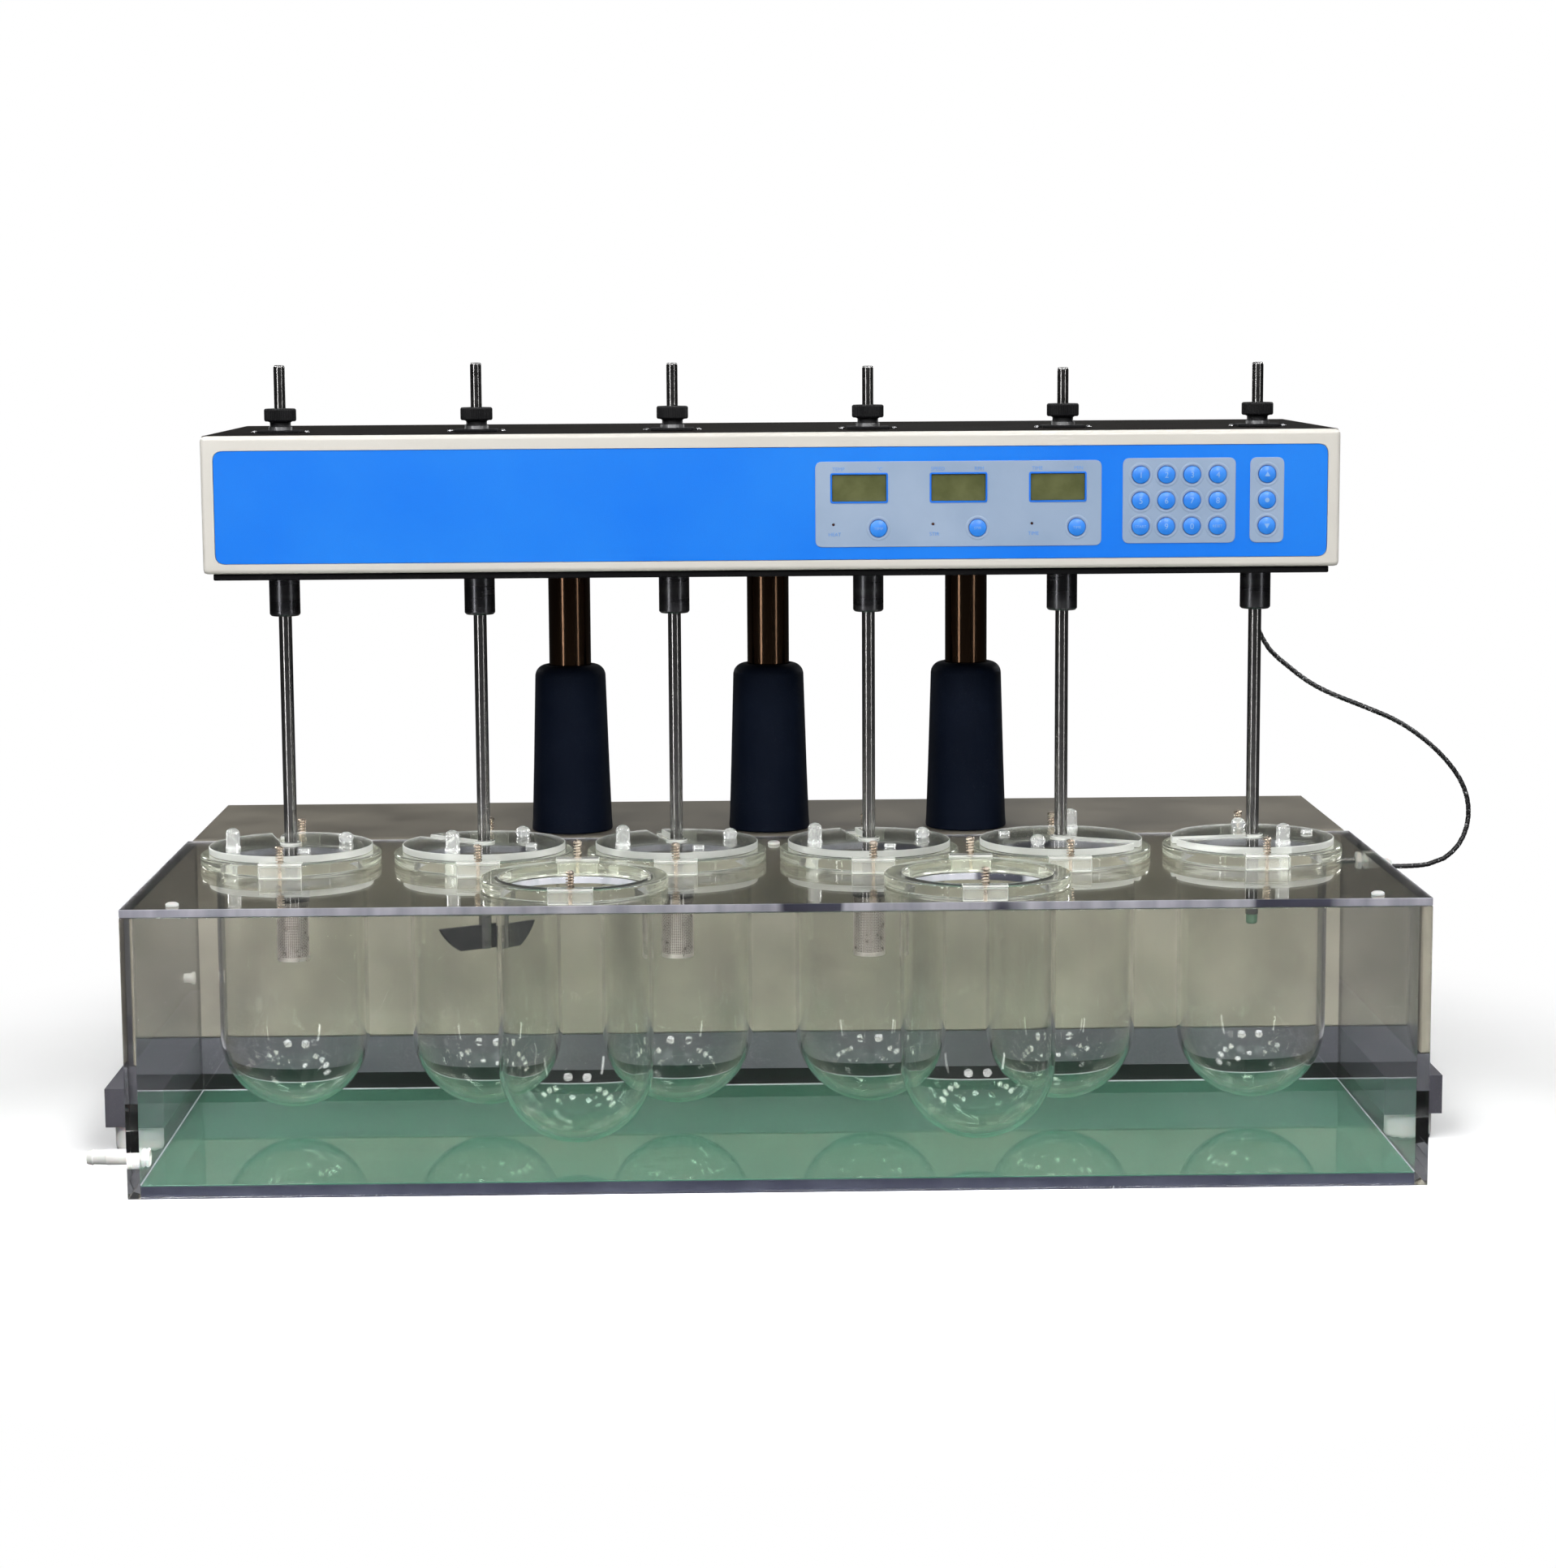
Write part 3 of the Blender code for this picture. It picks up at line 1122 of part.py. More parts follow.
def make_gland():
    """Nylon cable gland clamped through the right wall, with the short probe that it holds in the bath."""
    inner_face = -TANK_WALL - GAP
    nut_end = inner_face - GLAND_NUT_LENGTH
    outline = [
        (0, GAP + GLAND_NUT_LENGTH + GLAND_DOME_LENGTH),
        (GLAND_DOME_TIP_RADIUS, GAP + GLAND_NUT_LENGTH + GLAND_DOME_LENGTH),
        (GLAND_NUT_RADIUS, GAP + GLAND_NUT_LENGTH),
        (GLAND_NUT_RADIUS, GAP),
        (GLAND_THREAD_RADIUS, GAP),
        (GLAND_THREAD_RADIUS, inner_face),
        (GLAND_NUT_RADIUS, inner_face),
        (GLAND_NUT_RADIUS, nut_end),
        (GLAND_PROBE_RADIUS, nut_end),
        (GLAND_PROBE_RADIUS, nut_end - GLAND_PROBE_LENGTH),
        (0, nut_end - GLAND_PROBE_LENGTH),
    ]
    where = (TANK_WIDTH / 2, FRONT_Y + GLAND_FROM_FRONT, GLAND_HEIGHT)
    gland = turn_about_z(
        add_part("cable_gland", profile_mesh("cable_gland", outline), "white_nylon", where), SMALL_SIDES
    )
    gland.rotation_euler = (0, math.radians(90), 0)


def smooth_route(route, step):
    """Points about one step apart on a smooth curve through the route's own points."""
    points = [Vector(p) for p in route]
    ends = [2 * points[0] - points[1], *points, 2 * points[-1] - points[-2]]
    fine = []
    for a, b, c, d in zip(ends, ends[1:], ends[2:], ends[3:]):
        count = max(1, round((c - b).length / step))
        for i in range(count):
            t = i / count
            fine.append(
                (2 * b + (c - a) * t + (2 * a - 5 * b + 4 * c - d) * t**2 + (3 * b - a - 3 * c + d) * t**3) / 2
            )
    return [*fine, points[-1]]


def make_cable():
    """Cable of the temperature probe, hanging from the underside of the head to the gland."""
    curve = bpy.data.curves.new("probe_cable", "CURVE")
    curve.dimensions = "3D"
    curve.bevel_depth = CABLE_RADIUS
    curve.bevel_resolution = 2
    curve.use_fill_caps = True
    spline = curve.splines.new("POLY")
    points = smooth_route(CABLE_ROUTE, CABLE_POINT_STEP)
    spline.points.add(len(points) - 1)
    for point, where in zip(spline.points, points):
        point.co = (where.x, where.y, where.z, 1)
    cable = bpy.data.objects.new("probe_cable", curve)
    PARTS.objects.link(cable)
    curve.materials.append(finish("cable_sheath"))
    place(cable, (0, FRONT_Y, 0), None)


def build():
    make_plinth()
    make_cabinet()
    make_boots()
    make_tank()
    make_lid()
    make_vessels()
    for i, (x, turn) in enumerate(zip(STATION_X, COVER_TURNS)):
        make_cover(i + 1, x, turn)
    head = add_empty("head_lift_axis", (0, COLUMN_Y, HEAD_BOTTOM))
    make_head_case(head)
    make_head_plates(head)
    make_panel(head)
    make_keys(head)
    make_lift_frame(head)
    make_motor(head)
    make_stirrers(make_spindles(head))
    make_drain()
    make_gland()
    make_cable()


build()
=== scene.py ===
"""Looks of a tablet dissolution tester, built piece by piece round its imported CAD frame."""

import math

import bmesh
import bpy
import numpy as np
from mathutils import Matrix, Vector
from mathutils.geometry import delaunay_2d_cdt


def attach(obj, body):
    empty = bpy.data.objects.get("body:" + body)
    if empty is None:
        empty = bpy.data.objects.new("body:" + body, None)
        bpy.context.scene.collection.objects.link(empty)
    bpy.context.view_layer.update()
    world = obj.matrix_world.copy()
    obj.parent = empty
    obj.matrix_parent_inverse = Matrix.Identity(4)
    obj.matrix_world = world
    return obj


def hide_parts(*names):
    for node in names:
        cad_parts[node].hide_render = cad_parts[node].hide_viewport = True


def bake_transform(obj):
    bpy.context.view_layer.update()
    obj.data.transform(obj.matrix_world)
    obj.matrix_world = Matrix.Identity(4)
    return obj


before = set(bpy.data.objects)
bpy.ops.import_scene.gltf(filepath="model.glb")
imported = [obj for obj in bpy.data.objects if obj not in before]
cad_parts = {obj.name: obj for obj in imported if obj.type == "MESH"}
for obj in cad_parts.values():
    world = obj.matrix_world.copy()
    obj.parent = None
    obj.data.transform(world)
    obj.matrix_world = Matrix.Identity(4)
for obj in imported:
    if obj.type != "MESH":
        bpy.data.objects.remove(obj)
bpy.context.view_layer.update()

# Studio: a white paper floor that curves up far behind, a ring of round lamps whose glints show
# in the glass bowls, a strip lamp on each side, and the camera at the photograph's angle. The
# camera alone sees a white room and pale paper; glass, steel and every other surface see both dim.

PHOTO_WIDTH, FOCAL_PIXELS = 1917, 4201.14
PITCH_DOWN, YAW_RIGHT, ROLL = (math.radians(a) for a in (7.718, 1.082, -0.358))
CAMERA_PLACE = Vector((-0.04236, -2.5125, 0.58843))

forward = Vector(
    (
        math.sin(YAW_RIGHT) * math.cos(PITCH_DOWN),
        math.cos(YAW_RIGHT) * math.cos(PITCH_DOWN),
        -math.sin(PITCH_DOWN),
    )
)
level_right = Vector((math.cos(YAW_RIGHT), -math.sin(YAW_RIGHT), 0))
level_up = level_right.cross(forward)
camera_right = math.cos(ROLL) * level_right + math.sin(ROLL) * level_up
camera_up = math.cos(ROLL) * level_up - math.sin(ROLL) * level_right
lens = bpy.data.cameras.new("camera")
lens.sensor_width = 36
lens.sensor_fit = "HORIZONTAL"
lens.lens = FOCAL_PIXELS * lens.sensor_width / PHOTO_WIDTH
lens.clip_start, lens.clip_end = 0.05, 60
camera = bpy.data.objects.new("camera", lens)
camera.matrix_world = Matrix.Translation(CAMERA_PLACE) @ Matrix(
    (camera_right, camera_up, -forward)
).transposed().to_4x4()
bpy.context.scene.collection.objects.link(camera)
bpy.context.scene.camera = camera


def nodes_of(name):
    """A new material with its node tree, its Principled shader and its Object coordinates."""
    material = bpy.data.materials.new(name)
    material.use_nodes = True
    tree = material.node_tree
    shader = tree.nodes["Principled BSDF"]
    here = tree.nodes.new("ShaderNodeTexCoord").outputs["Object"]
    return material, tree, shader, here


def node_in(tree, kind, values=None, **settings):
    """A new shader node with its settings and the values of its unlinked inputs."""
    made = tree.nodes.new("ShaderNode" + kind)
    for label, setting in settings.items():
        setattr(made, label, setting)
    for label, value in (values or {}).items():
        made.inputs[label].default_value = value
    return made


def join(tree, *links):
    for start, end in links:
        tree.links.new(start, end)


def lamp(name, place, aim, size, power, size_y=None):
    """A studio lamp that faces a point: a rectangle, or a round disc where size_y is left out."""
    light = bpy.data.lights.new(name, "AREA")
    light.energy, light.size = power, size
    if size_y:
        light.shape, light.size_y = "RECTANGLE", size_y
    else:
        light.shape = "DISK"
    made = bpy.data.objects.new(name, light)
    made.location = place
    made.rotation_euler = (Vector(aim) - Vector(place)).to_track_quat("-Z", "Y").to_euler()
    bpy.context.scene.collection.objects.link(made)
    return made


MIDDLE, UNDER_HEAD = Vector((0, -0.1, 0.25)), (0, 0, 0.3)
# Bearing from straight ahead, rise above level, distance, fill size and power of each round lamp,
# and the width of its glint lamp, a wider disc in the same place that only glossy surfaces see.
ROUND_LAMPS = [(-19, 28, 2.9, 0.5, 24, 0.72), (15, 28, 2.9, 0.5, 24, 0.72)]
ROUND_LAMPS += [(bearing, 42, 2.7, 0.26, 4.5, 0.42) for bearing in (-105, -86, -68, -50, 46, 62, 80, 100)]
ROUND_LAMPS += [(bearing, 62, 2.4, 0.3, 3, 0.36) for bearing in (-140, -45, 10, 60, 150)]
GLINT_POWER = 54
for number, (bearing, rise, distance, size, power, glint) in enumerate(ROUND_LAMPS):
    turn, tilt = math.radians(bearing), math.radians(rise)
    place = MIDDLE + distance * Vector(
        (math.sin(turn) * math.cos(tilt), -math.cos(turn) * math.cos(tilt), math.sin(tilt))
    )
    lamp(f"round_lamp_{number}", place, MIDDLE, size, power).visible_glossy = False
    lamp(f"glint_lamp_{number}", place, MIDDLE, glint, GLINT_POWER * glint**2).visible_diffuse = False
lamp("left_strip", (-1.3, -1.5, 0.42), UNDER_HEAD, 0.1, 3.2, size_y=0.85)
lamp("right_strip", (1.35, -1.25, 0.42), UNDER_HEAD, 0.07, 1.2, size_y=0.85)
lamp("rear_lamp", (0.3, 2.4, 1.9), UNDER_HEAD, 1.6, 5)
for side in (-1, 1):
    lamp(f"rear_side_lamp_{side}", (side * 1.7, 2.0, 0.9), (0, 0.2, 0.3), 0.5, 9)

world = bpy.data.worlds.new("studio")
bpy.context.scene.world = world
bpy.context.scene.view_settings.view_transform = "Standard"
LIGHT_BOUNCES = 24
for bounces in ("max_bounces", "glossy_bounces", "transmission_bounces", "transparent_max_bounces"):
    setattr(bpy.context.scene.cycles, bounces, LIGHT_BOUNCES)
world.use_nodes = True
sky = world.node_tree
toward = node_in(sky, "TexCoord").outputs["Generated"]
axes = node_in(sky, "SeparateXYZ")
height = node_in(sky, "MapRange", {"From Min": 0.1, "From Max": 1.0})
DIM_FLOOR, DIM_CEILING = (0.022, 0.022, 0.023, 1), (0.22, 0.225, 0.23, 1)
room = node_in(sky, "Mix", {"A": DIM_FLOOR, "B": DIM_CEILING}, data_type="RGBA")
seen = node_in(sky, "Mix", {"B": (1, 1, 1, 1)}, data_type="RGBA")
path = node_in(sky, "LightPath")
join(
    sky,
    (toward, axes.inputs[0]),
    (axes.outputs["Z"], height.inputs["Value"]),
    (height.outputs["Result"], room.inputs["Factor"]),
    (path.outputs["Is Camera Ray"], seen.inputs["Factor"]),
    (room.outputs["Result"], seen.inputs["A"]),
    (seen.outputs["Result"], sky.nodes["Background"].inputs["Color"]),
)

# Floor: radius and height over turn and distance, flat out to 3 m and then a rising curve.
SPOKES, FLAT_OUT_TO, BEND = 96, 3.0, 0.12
turns = np.linspace(0, 2 * np.pi, SPOKES + 1)[:-1]
reach = np.array([0.0, 0.8, 2.0, 3.0, 4.0, 5.0, 6.0])
rise = np.maximum(reach - FLAT_OUT_TO, 0) ** 2 * BEND
just_below = np.repeat(rise[:, None] - 0.0004, SPOKES, 1)
floor_points = np.stack([np.outer(reach, np.cos(turns)), np.outer(reach, np.sin(turns)), just_below], -1)


def grid(points, around=False, along=False):
    """Faces of a surface on a grid of two parameters (rows, columns): each cell is one face.
    around joins the last column to the first one, along the last row to the first one."""
    rows, columns = points.shape[:2]
    i = np.arange(rows if along else rows - 1)[:, None]
    j = np.arange(columns if around else columns - 1)[None, :]
    after_i, after_j = (i + 1) % rows, (j + 1) % columns
    corners = [i * columns + j, i * columns + after_j, after_i * columns + after_j, after_i * columns + j]
    return points.reshape(-1, 3), np.stack(corners, -1).reshape(-1, 4).tolist()


def made_of(name, surfaces, material, sharp=32):
    """One object of several surfaces, each (points, faces): doubles are merged, faces turned
    outwards, and edges over `sharp` degrees stay sharp."""
    points = np.concatenate([p for p, _ in surfaces])
    starts = np.cumsum([0] + [len(p) for p, _ in surfaces])
    faces = [[start + k for k in face] for start, (_, some) in zip(starts, surfaces) for face in some]
    mesh = bpy.data.meshes.new(name)
    mesh.from_pydata(points.tolist(), [], faces)
    shape = bmesh.new()
    shape.from_mesh(mesh)
    bmesh.ops.remove_doubles(shape, verts=shape.verts, dist=2e-6)
    bmesh.ops.recalc_face_normals(shape, faces=shape.faces)
    shape.to_mesh(mesh)
    shape.free()
    mesh.shade_smooth()
    mesh.set_sharp_from_angle(angle=math.radians(sharp))
    mesh.materials.append(material)
    made = bpy.data.objects.new(name, mesh)
    bpy.context.scene.collection.objects.link(made)
    flat_faces = made.modifiers.new("flat_faces_stay_flat", "WEIGHTED_NORMAL")
    flat_faces.mode, flat_faces.keep_sharp = "FACE_AREA", True
    return made


floor_paint, tree, shader, here = nodes_of("floor_paper")
shader.inputs["Roughness"].default_value = 0.9
mottle = node_in(tree, "TexNoise", {"Scale": 1.5})
paper = node_in(tree, "Mix", {"A": (0.88, 0.88, 0.88, 1), "B": (0.92, 0.92, 0.92, 1)}, data_type="RGBA")
bench = node_in(tree, "Mix", {"A": (0.05, 0.05, 0.05, 1)}, data_type="RGBA")
from_middle = node_in(tree, "VectorMath", operation="LENGTH")
far = node_in(tree, "MapRange", {"From Min": 0.5, "From Max": 0.85}, interpolation_type="SMOOTHSTEP")
glow = node_in(tree, "Emission", {"Color": (1, 1, 1, 1)})
lit = node_in(tree, "Math", operation="MULTIPLY")
even = node_in(tree, "MixShader")
ray = node_in(tree, "LightPath")
join(
    tree,
    (here, mottle.inputs["Vector"]),
    (mottle.outputs["Fac"], paper.inputs["Factor"]),
    (paper.outputs["Result"], bench.inputs["B"]),
    (ray.outputs["Is Camera Ray"], bench.inputs["Factor"]),
    (bench.outputs["Result"], shader.inputs["Base Color"]),
    (here, from_middle.inputs[0]),
    (from_middle.outputs["Value"], far.inputs["Value"]),
    (far.outputs["Result"], lit.inputs[0]),
    (ray.outputs["Is Camera Ray"], lit.inputs[1]),
    (lit.outputs[0], even.inputs["Fac"]),
    (shader.outputs["BSDF"], even.inputs[1]),
    (glow.outputs["Emission"], even.inputs[2]),
    (even.outputs["Shader"], tree.nodes["Material Output"].inputs["Surface"]),
)
floor = made_of("floor", [grid(floor_points, around=True)], floor_paint)

# Base plinth: a U of folded steel plate under the cabinet with an arm along each side of the
# bath, sprayed dark grey, on four turned white nylon feet that are screwed up into it.


def group_of(name, inputs, outputs):
    """A shader node group with named number sockets; inputs are name to default value.
    Returns the group with its input and output nodes."""
    group = bpy.data.node_groups.new(name, "ShaderNodeTree")
    for label, value in inputs.items():
        kind = "NodeSocketVector" if value is None else "NodeSocketFloat"
        socket = group.interface.new_socket(name=label, in_out="INPUT", socket_type=kind)
        if value is not None:
            socket.default_value = value
    for label in outputs:
        group.interface.new_socket(name=label, in_out="OUTPUT", socket_type="NodeSocketFloat")
    return group, group.nodes.new("NodeGroupInput").outputs, group.nodes.new("NodeGroupOutput").inputs


def noise(tree, where, scale, detail=2.0):
    """A noise pattern; scale is a number or a socket, per metre."""
    made = node_in(tree, "TexNoise", {"Detail": detail})
    tree.links.new(where, made.inputs["Vector"])
    if isinstance(scale, (int, float)):
        made.inputs["Scale"].default_value = scale
    else:
        tree.links.new(scale, made.inputs["Scale"])
    return made.outputs["Fac"]


def stepped(tree, value, low, high, to_low=0.0, to_high=1.0):
    """Value carried from low..high to to_low..to_high and held there; each end is a number or a socket."""
    made = node_in(tree, "MapRange")
    tree.links.new(value, made.inputs["Value"])
    ends = (("From Min", low), ("From Max", high), ("To Min", to_low), ("To Max", to_high))
    for label, end in ends:
        if isinstance(end, (int, float)):
            made.inputs[label].default_value = end
        else:
            tree.links.new(end, made.inputs[label])
    return made.outputs["Result"]


# Grain of a sprayed, moulded or ground surface: a fine relief, a slow change of tone and a
# roughness that wanders between two values.
grain, given, out = group_of(
    "surface_grain",
    {"Where": None, "Scale": 900.0, "Slow Scale": 9.0, "Smooth": 0.3, "Rough": 0.5},
    ("Relief", "Tone", "Roughness"),
)
fine = noise(grain, given["Where"], given["Scale"], 3.0)
slow = noise(grain, given["Where"], given["Slow Scale"], 4.0)
join(
    grain,
    (fine, out["Relief"]),
    (stepped(grain, slow, 0.3, 0.7), out["Tone"]),
    (stepped(grain, slow, 0.25, 0.75, given["Smooth"], given["Rough"]), out["Roughness"]),
)

# Dust and small scuffs: bright specks where a fine noise passes a limit inside slow patches.
dust, given, out = group_of("settled_dust", {"Where": None, "Scale": 1500.0, "Amount": 0.5}, ("Dust",))
specks = stepped(dust, noise(dust, given["Where"], given["Scale"], 1.0), 0.62, 0.72)
patches = stepped(dust, noise(dust, given["Where"], 30.0, 3.0), 0.4, 0.7)
both, share = (node_in(dust, "Math", operation="MULTIPLY") for _ in range(2))
join(
    dust,
    (specks, both.inputs[0]),
    (patches, both.inputs[1]),
    (both.outputs[0], share.inputs[0]),
    (given["Amount"], share.inputs[1]),
    (share.outputs[0], out["Dust"]),
)


def placed_group(tree, group, where, **values):
    """A node group at work in a material; values are its number inputs, spaces written as _."""
    made = node_in(tree, "Group", node_tree=group)
    tree.links.new(where, made.inputs["Where"])
    for label, value in values.items():
        made.inputs[label.replace("_", " ")].default_value = value
    return made.outputs


def blended(tree, share, first, second):
    """Colour between first and second, each a colour or a socket."""
    made = node_in(tree, "Mix", data_type="RGBA")
    tree.links.new(share, made.inputs["Factor"])
    for label, colour in (("A", first), ("B", second)):
        if isinstance(colour, tuple):
            made.inputs[label].default_value = (*colour, 1)
        else:
            tree.links.new(colour, made.inputs[label])
    return made.outputs["Result"]


DUST_TONE, RELIEF_DEPTH, COAT_ROUGHNESS = (0.5, 0.49, 0.46), 0.0004, 0.12


def finish(
    name, low, high, smooth, rough, scale=900.0, relief=0.0, dusty=0.0, stretch=None,
    metallic=0.0, coat=0.0, slow=9.0, specular=0.5,
):
    """An opaque finish: its colour wanders between two tones, its roughness between two values,
    with a fine relief and a share of pale dust. stretch draws the pattern out along the axes."""
    material, tree, shader, here = nodes_of(name)
    if stretch:
        drawn = node_in(tree, "Mapping", {"Scale": stretch})
        tree.links.new(here, drawn.inputs["Vector"])
        here = drawn.outputs["Vector"]
    skin = placed_group(tree, grain, here, Scale=scale, Slow_Scale=slow, Smooth=smooth, Rough=rough)
    colour = blended(tree, skin["Tone"], low, high)
    if dusty:
        settled = placed_group(tree, dust, here, Amount=dusty)
        colour = blended(tree, settled["Dust"], colour, DUST_TONE)
    shader.inputs["Metallic"].default_value = metallic
    shader.inputs["Coat Weight"].default_value = coat
    shader.inputs["Coat Roughness"].default_value = COAT_ROUGHNESS
    shader.inputs["Specular IOR Level"].default_value = specular
    join(tree, (colour, shader.inputs["Base Color"]), (skin["Roughness"], shader.inputs["Roughness"]))
    if relief:
        bump = node_in(tree, "Bump", {"Strength": relief, "Distance": RELIEF_DEPTH})
        join(tree, (skin["Relief"], bump.inputs["Height"]), (bump.outputs["Normal"], shader.inputs["Normal"]))
    return material


def painted(node, material):
    """A CAD node that is shown as it is, with a better finish."""
    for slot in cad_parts[node].material_slots:
        slot.material = material


plinth_paint = finish(
    "plinth_paint", (0.04, 0.039, 0.05), (0.06, 0.058, 0.07), 0.32, 0.5, 1100, 0.25, dusty=0.3
)
painted("base_plinth", plinth_paint)


def eased(points, size, steps=3, closed=False):
    """Outline whose corners are cut back by `size` and rounded: at each corner a curve
    (1-t)^2 a + 2t(1-t) p + t^2 c runs from the side before to the side after."""
    p = np.array(points, float)
    before, after = np.roll(p, 1, 0), np.roll(p, -1, 0)
    if not closed:
        before[0], after[-1] = p[0], p[-1]

    def toward(other):
        gap = other - p
        length = np.maximum(np.linalg.norm(gap, axis=1, keepdims=True), 1e-9)
        return p + gap * np.minimum(size, 0.45 * length) / length

    t = np.linspace(0, 1, steps + 1)[:, None, None]
    curve = (1 - t) ** 2 * toward(before) + 2 * t * (1 - t) * p + t**2 * toward(after)
    return curve.transpose(1, 0, 2).reshape(-1, p.shape[1])


def turned(profile, centre=(0, 0, 0), steps=64, axis="z", ribs=0, rib_depth=0.0, turn=0.0):
    """Surface of revolution: each (radius, height) of the profile goes round the axis.
    Ribs wave the radius by rib_depth * |cos| that many times round, as knurling."""
    r, h = np.array(profile, float).T[:, :, None]
    angle = np.linspace(0, 2 * np.pi, steps + 1)[:-1] + turn
    wave = rib_depth * np.abs(np.cos(ribs * angle / 2)) if ribs else 0.0
    r = r - wave * (r > 0)
    p = np.stack([r * np.cos(angle), r * np.sin(angle), h + 0 * angle], -1)
    p = {"z": p, "x": p[..., [2, 0, 1]], "y": p[..., [1, 2, 0]]}[axis]
    return grid(p + np.array(centre), around=True)


nylon = finish("white_nylon", (0.68, 0.68, 0.65), (0.78, 0.78, 0.76), 0.32, 0.48, 900, 0.12, slow=60)
for label, value in (("Subsurface Weight", 0.15), ("Subsurface Scale", 0.003)):
    nylon.node_tree.nodes["Principled BSDF"].inputs[label].default_value = value
FOOT_X, FOOT_Y = 0.462, (-0.100, 0.218)
foot_profile = eased([(0, 0.0004), (0.0125, 0.0004), (0.0139, 0.003), (0.0139, 0.0196), (0, 0.0196)], 0.0012)
feet = made_of(
    "plinth_feet",
    [turned(foot_profile, (side * FOOT_X, y, 0), 40) for side in (-1, 1) for y in FOOT_Y],
    nylon,
)
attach(feet, "base")

# Cabinet: a folded steel case behind the bath, sprayed warm grey, with a black moulded mains
# socket let into its back; it covers the heater, the circulating pump and the lifting motor.

# The slow dark blotches in the cabinet's grey are painted shadow and reflection patches; the rest is its
# paint.
cabinet_paint = finish(
    "cabinet_paint", (0.148, 0.133, 0.104), (0.222, 0.2, 0.156), 0.4, 0.55, 1300, 0.3, dusty=0.2, slow=15
)
painted("cabinet_shell", cabinet_paint)


def shrunk(loop, rim):
    """Closed loop with each point moved to its left by `rim`, square to both sides."""
    ahead = np.roll(loop, -1, 0) - loop
    ahead /= np.maximum(np.linalg.norm(ahead, axis=1, keepdims=True), 1e-12)
    left = np.stack([-ahead[:, 1], ahead[:, 0]], -1)
    other = np.roll(left, 1, 0)
    return loop + rim * (left + other) / np.maximum(1 + (left * other).sum(1, keepdims=True), 0.3)


def fill(loops):
    """Triangles between an outline and its holes: those are kept from whose middle a ray along
    +X crosses the loops an odd number of times."""
    flat = np.concatenate(loops)
    starts = np.cumsum([0] + [len(loop) for loop in loops])
    edges = [(s + i, s + (i + 1) % n) for s, n in zip(starts, map(len, loops)) for i in range(n)]
    found = delaunay_2d_cdt([Vector(p) for p in flat], edges, [], 0, 1e-9)
    points, faces = np.array(found[0]), np.array(found[2])
    middle = points[faces].mean(1)
    a = np.concatenate(loops)[:, None]
    b = np.concatenate([np.roll(loop, -1, 0) for loop in loops])[:, None]
    across = (a[..., 1] > middle[:, 1]) != (b[..., 1] > middle[:, 1])
    rise = np.where(b[..., 1] == a[..., 1], 1, b[..., 1] - a[..., 1])
    at = a[..., 0] + (middle[:, 1] - a[..., 1]) * (b[..., 0] - a[..., 0]) / rise
    inside = (across & (at > middle[:, 0])).sum(0) % 2 == 1
    return points, faces[inside].tolist()


def at_height(loop, z):
    return np.column_stack([loop, np.full(len(loop), z)])


def plate(loops, low, high, rim=0.0004):
    """Flat plate between two heights, from an anticlockwise outline and clockwise holes; the
    walls rise from low to high along each loop, with a small chamfer at both rims."""
    loops = [np.array(loop, float) for loop in loops]
    inner = [shrunk(loop, rim) for loop in loops]
    surfaces = []
    for loop, cut in zip(loops, inner):
        heights = ((cut, low), (loop, low + rim), (loop, high - rim), (cut, high))
        surfaces.append(grid(np.stack([at_height(*line) for line in heights]), around=True))
    points, faces = fill(inner)
    return surfaces + [(at_height(points, z), faces) for z in (low, high)]


def circle(x, y, radius, steps=64, way=1):
    """Closed circle, anticlockwise, or clockwise for a hole (way -1)."""
    angle = way * np.linspace(0, 2 * np.pi, steps + 1)[:-1]
    return np.column_stack([x + radius * np.cos(angle), y + radius * np.sin(angle)])


def block_outline(low, high, corner=0.0005, steps=4, way=1):
    """Rectangle with rounded corners, anticlockwise, or clockwise for a hole (way -1)."""
    (x0, y0), (x1, y1) = low, high
    loop = eased([(x0, y0), (x1, y0), (x1, y1), (x0, y1)], corner, steps, closed=True)
    return loop[::way]


def block_round(x, y, half_x, half_y, corner=0.0005, steps=4, way=1):
    """The same rectangle from its middle and its half sizes."""
    return block_outline((x - half_x, y - half_y), (x + half_x, y + half_y), corner, steps, way)


def moved(surfaces, change):
    """The same surfaces with their points put through a change of place."""
    return [(change(points), faces) for points, faces in surfaces]


def facing_front(points):
    """A plate drawn in X and Y stands up in X and Z; its height becomes the way to the front, -Y."""
    return points[:, [0, 2, 1]] * (1, -1, 1)


def facing_back(points):
    return points[:, [0, 2, 1]]


INLET_X, INLET_Z, INLET_BACK = 0.3495, 0.093, 0.248
socket_black = finish("moulded_black", (0.012, 0.012, 0.013), (0.02, 0.02, 0.021), 0.3, 0.45, 1500, 0.15)
inlet_outline = block_round(INLET_X, INLET_Z, 0.0131, 0.0096, 0.002)
inlet_mouth = block_round(INLET_X, INLET_Z, 0.0112, 0.0078, 0.003, way=-1)
inlet = made_of(
    "mains_inlet_insert",
    moved(plate([inlet_outline, inlet_mouth], INLET_BACK - 0.013, INLET_BACK - 0.0006), facing_back)
    + moved(plate([inlet_outline], INLET_BACK - 0.0147, INLET_BACK - 0.0132), facing_back),
    socket_black,
)
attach(inlet, "base")

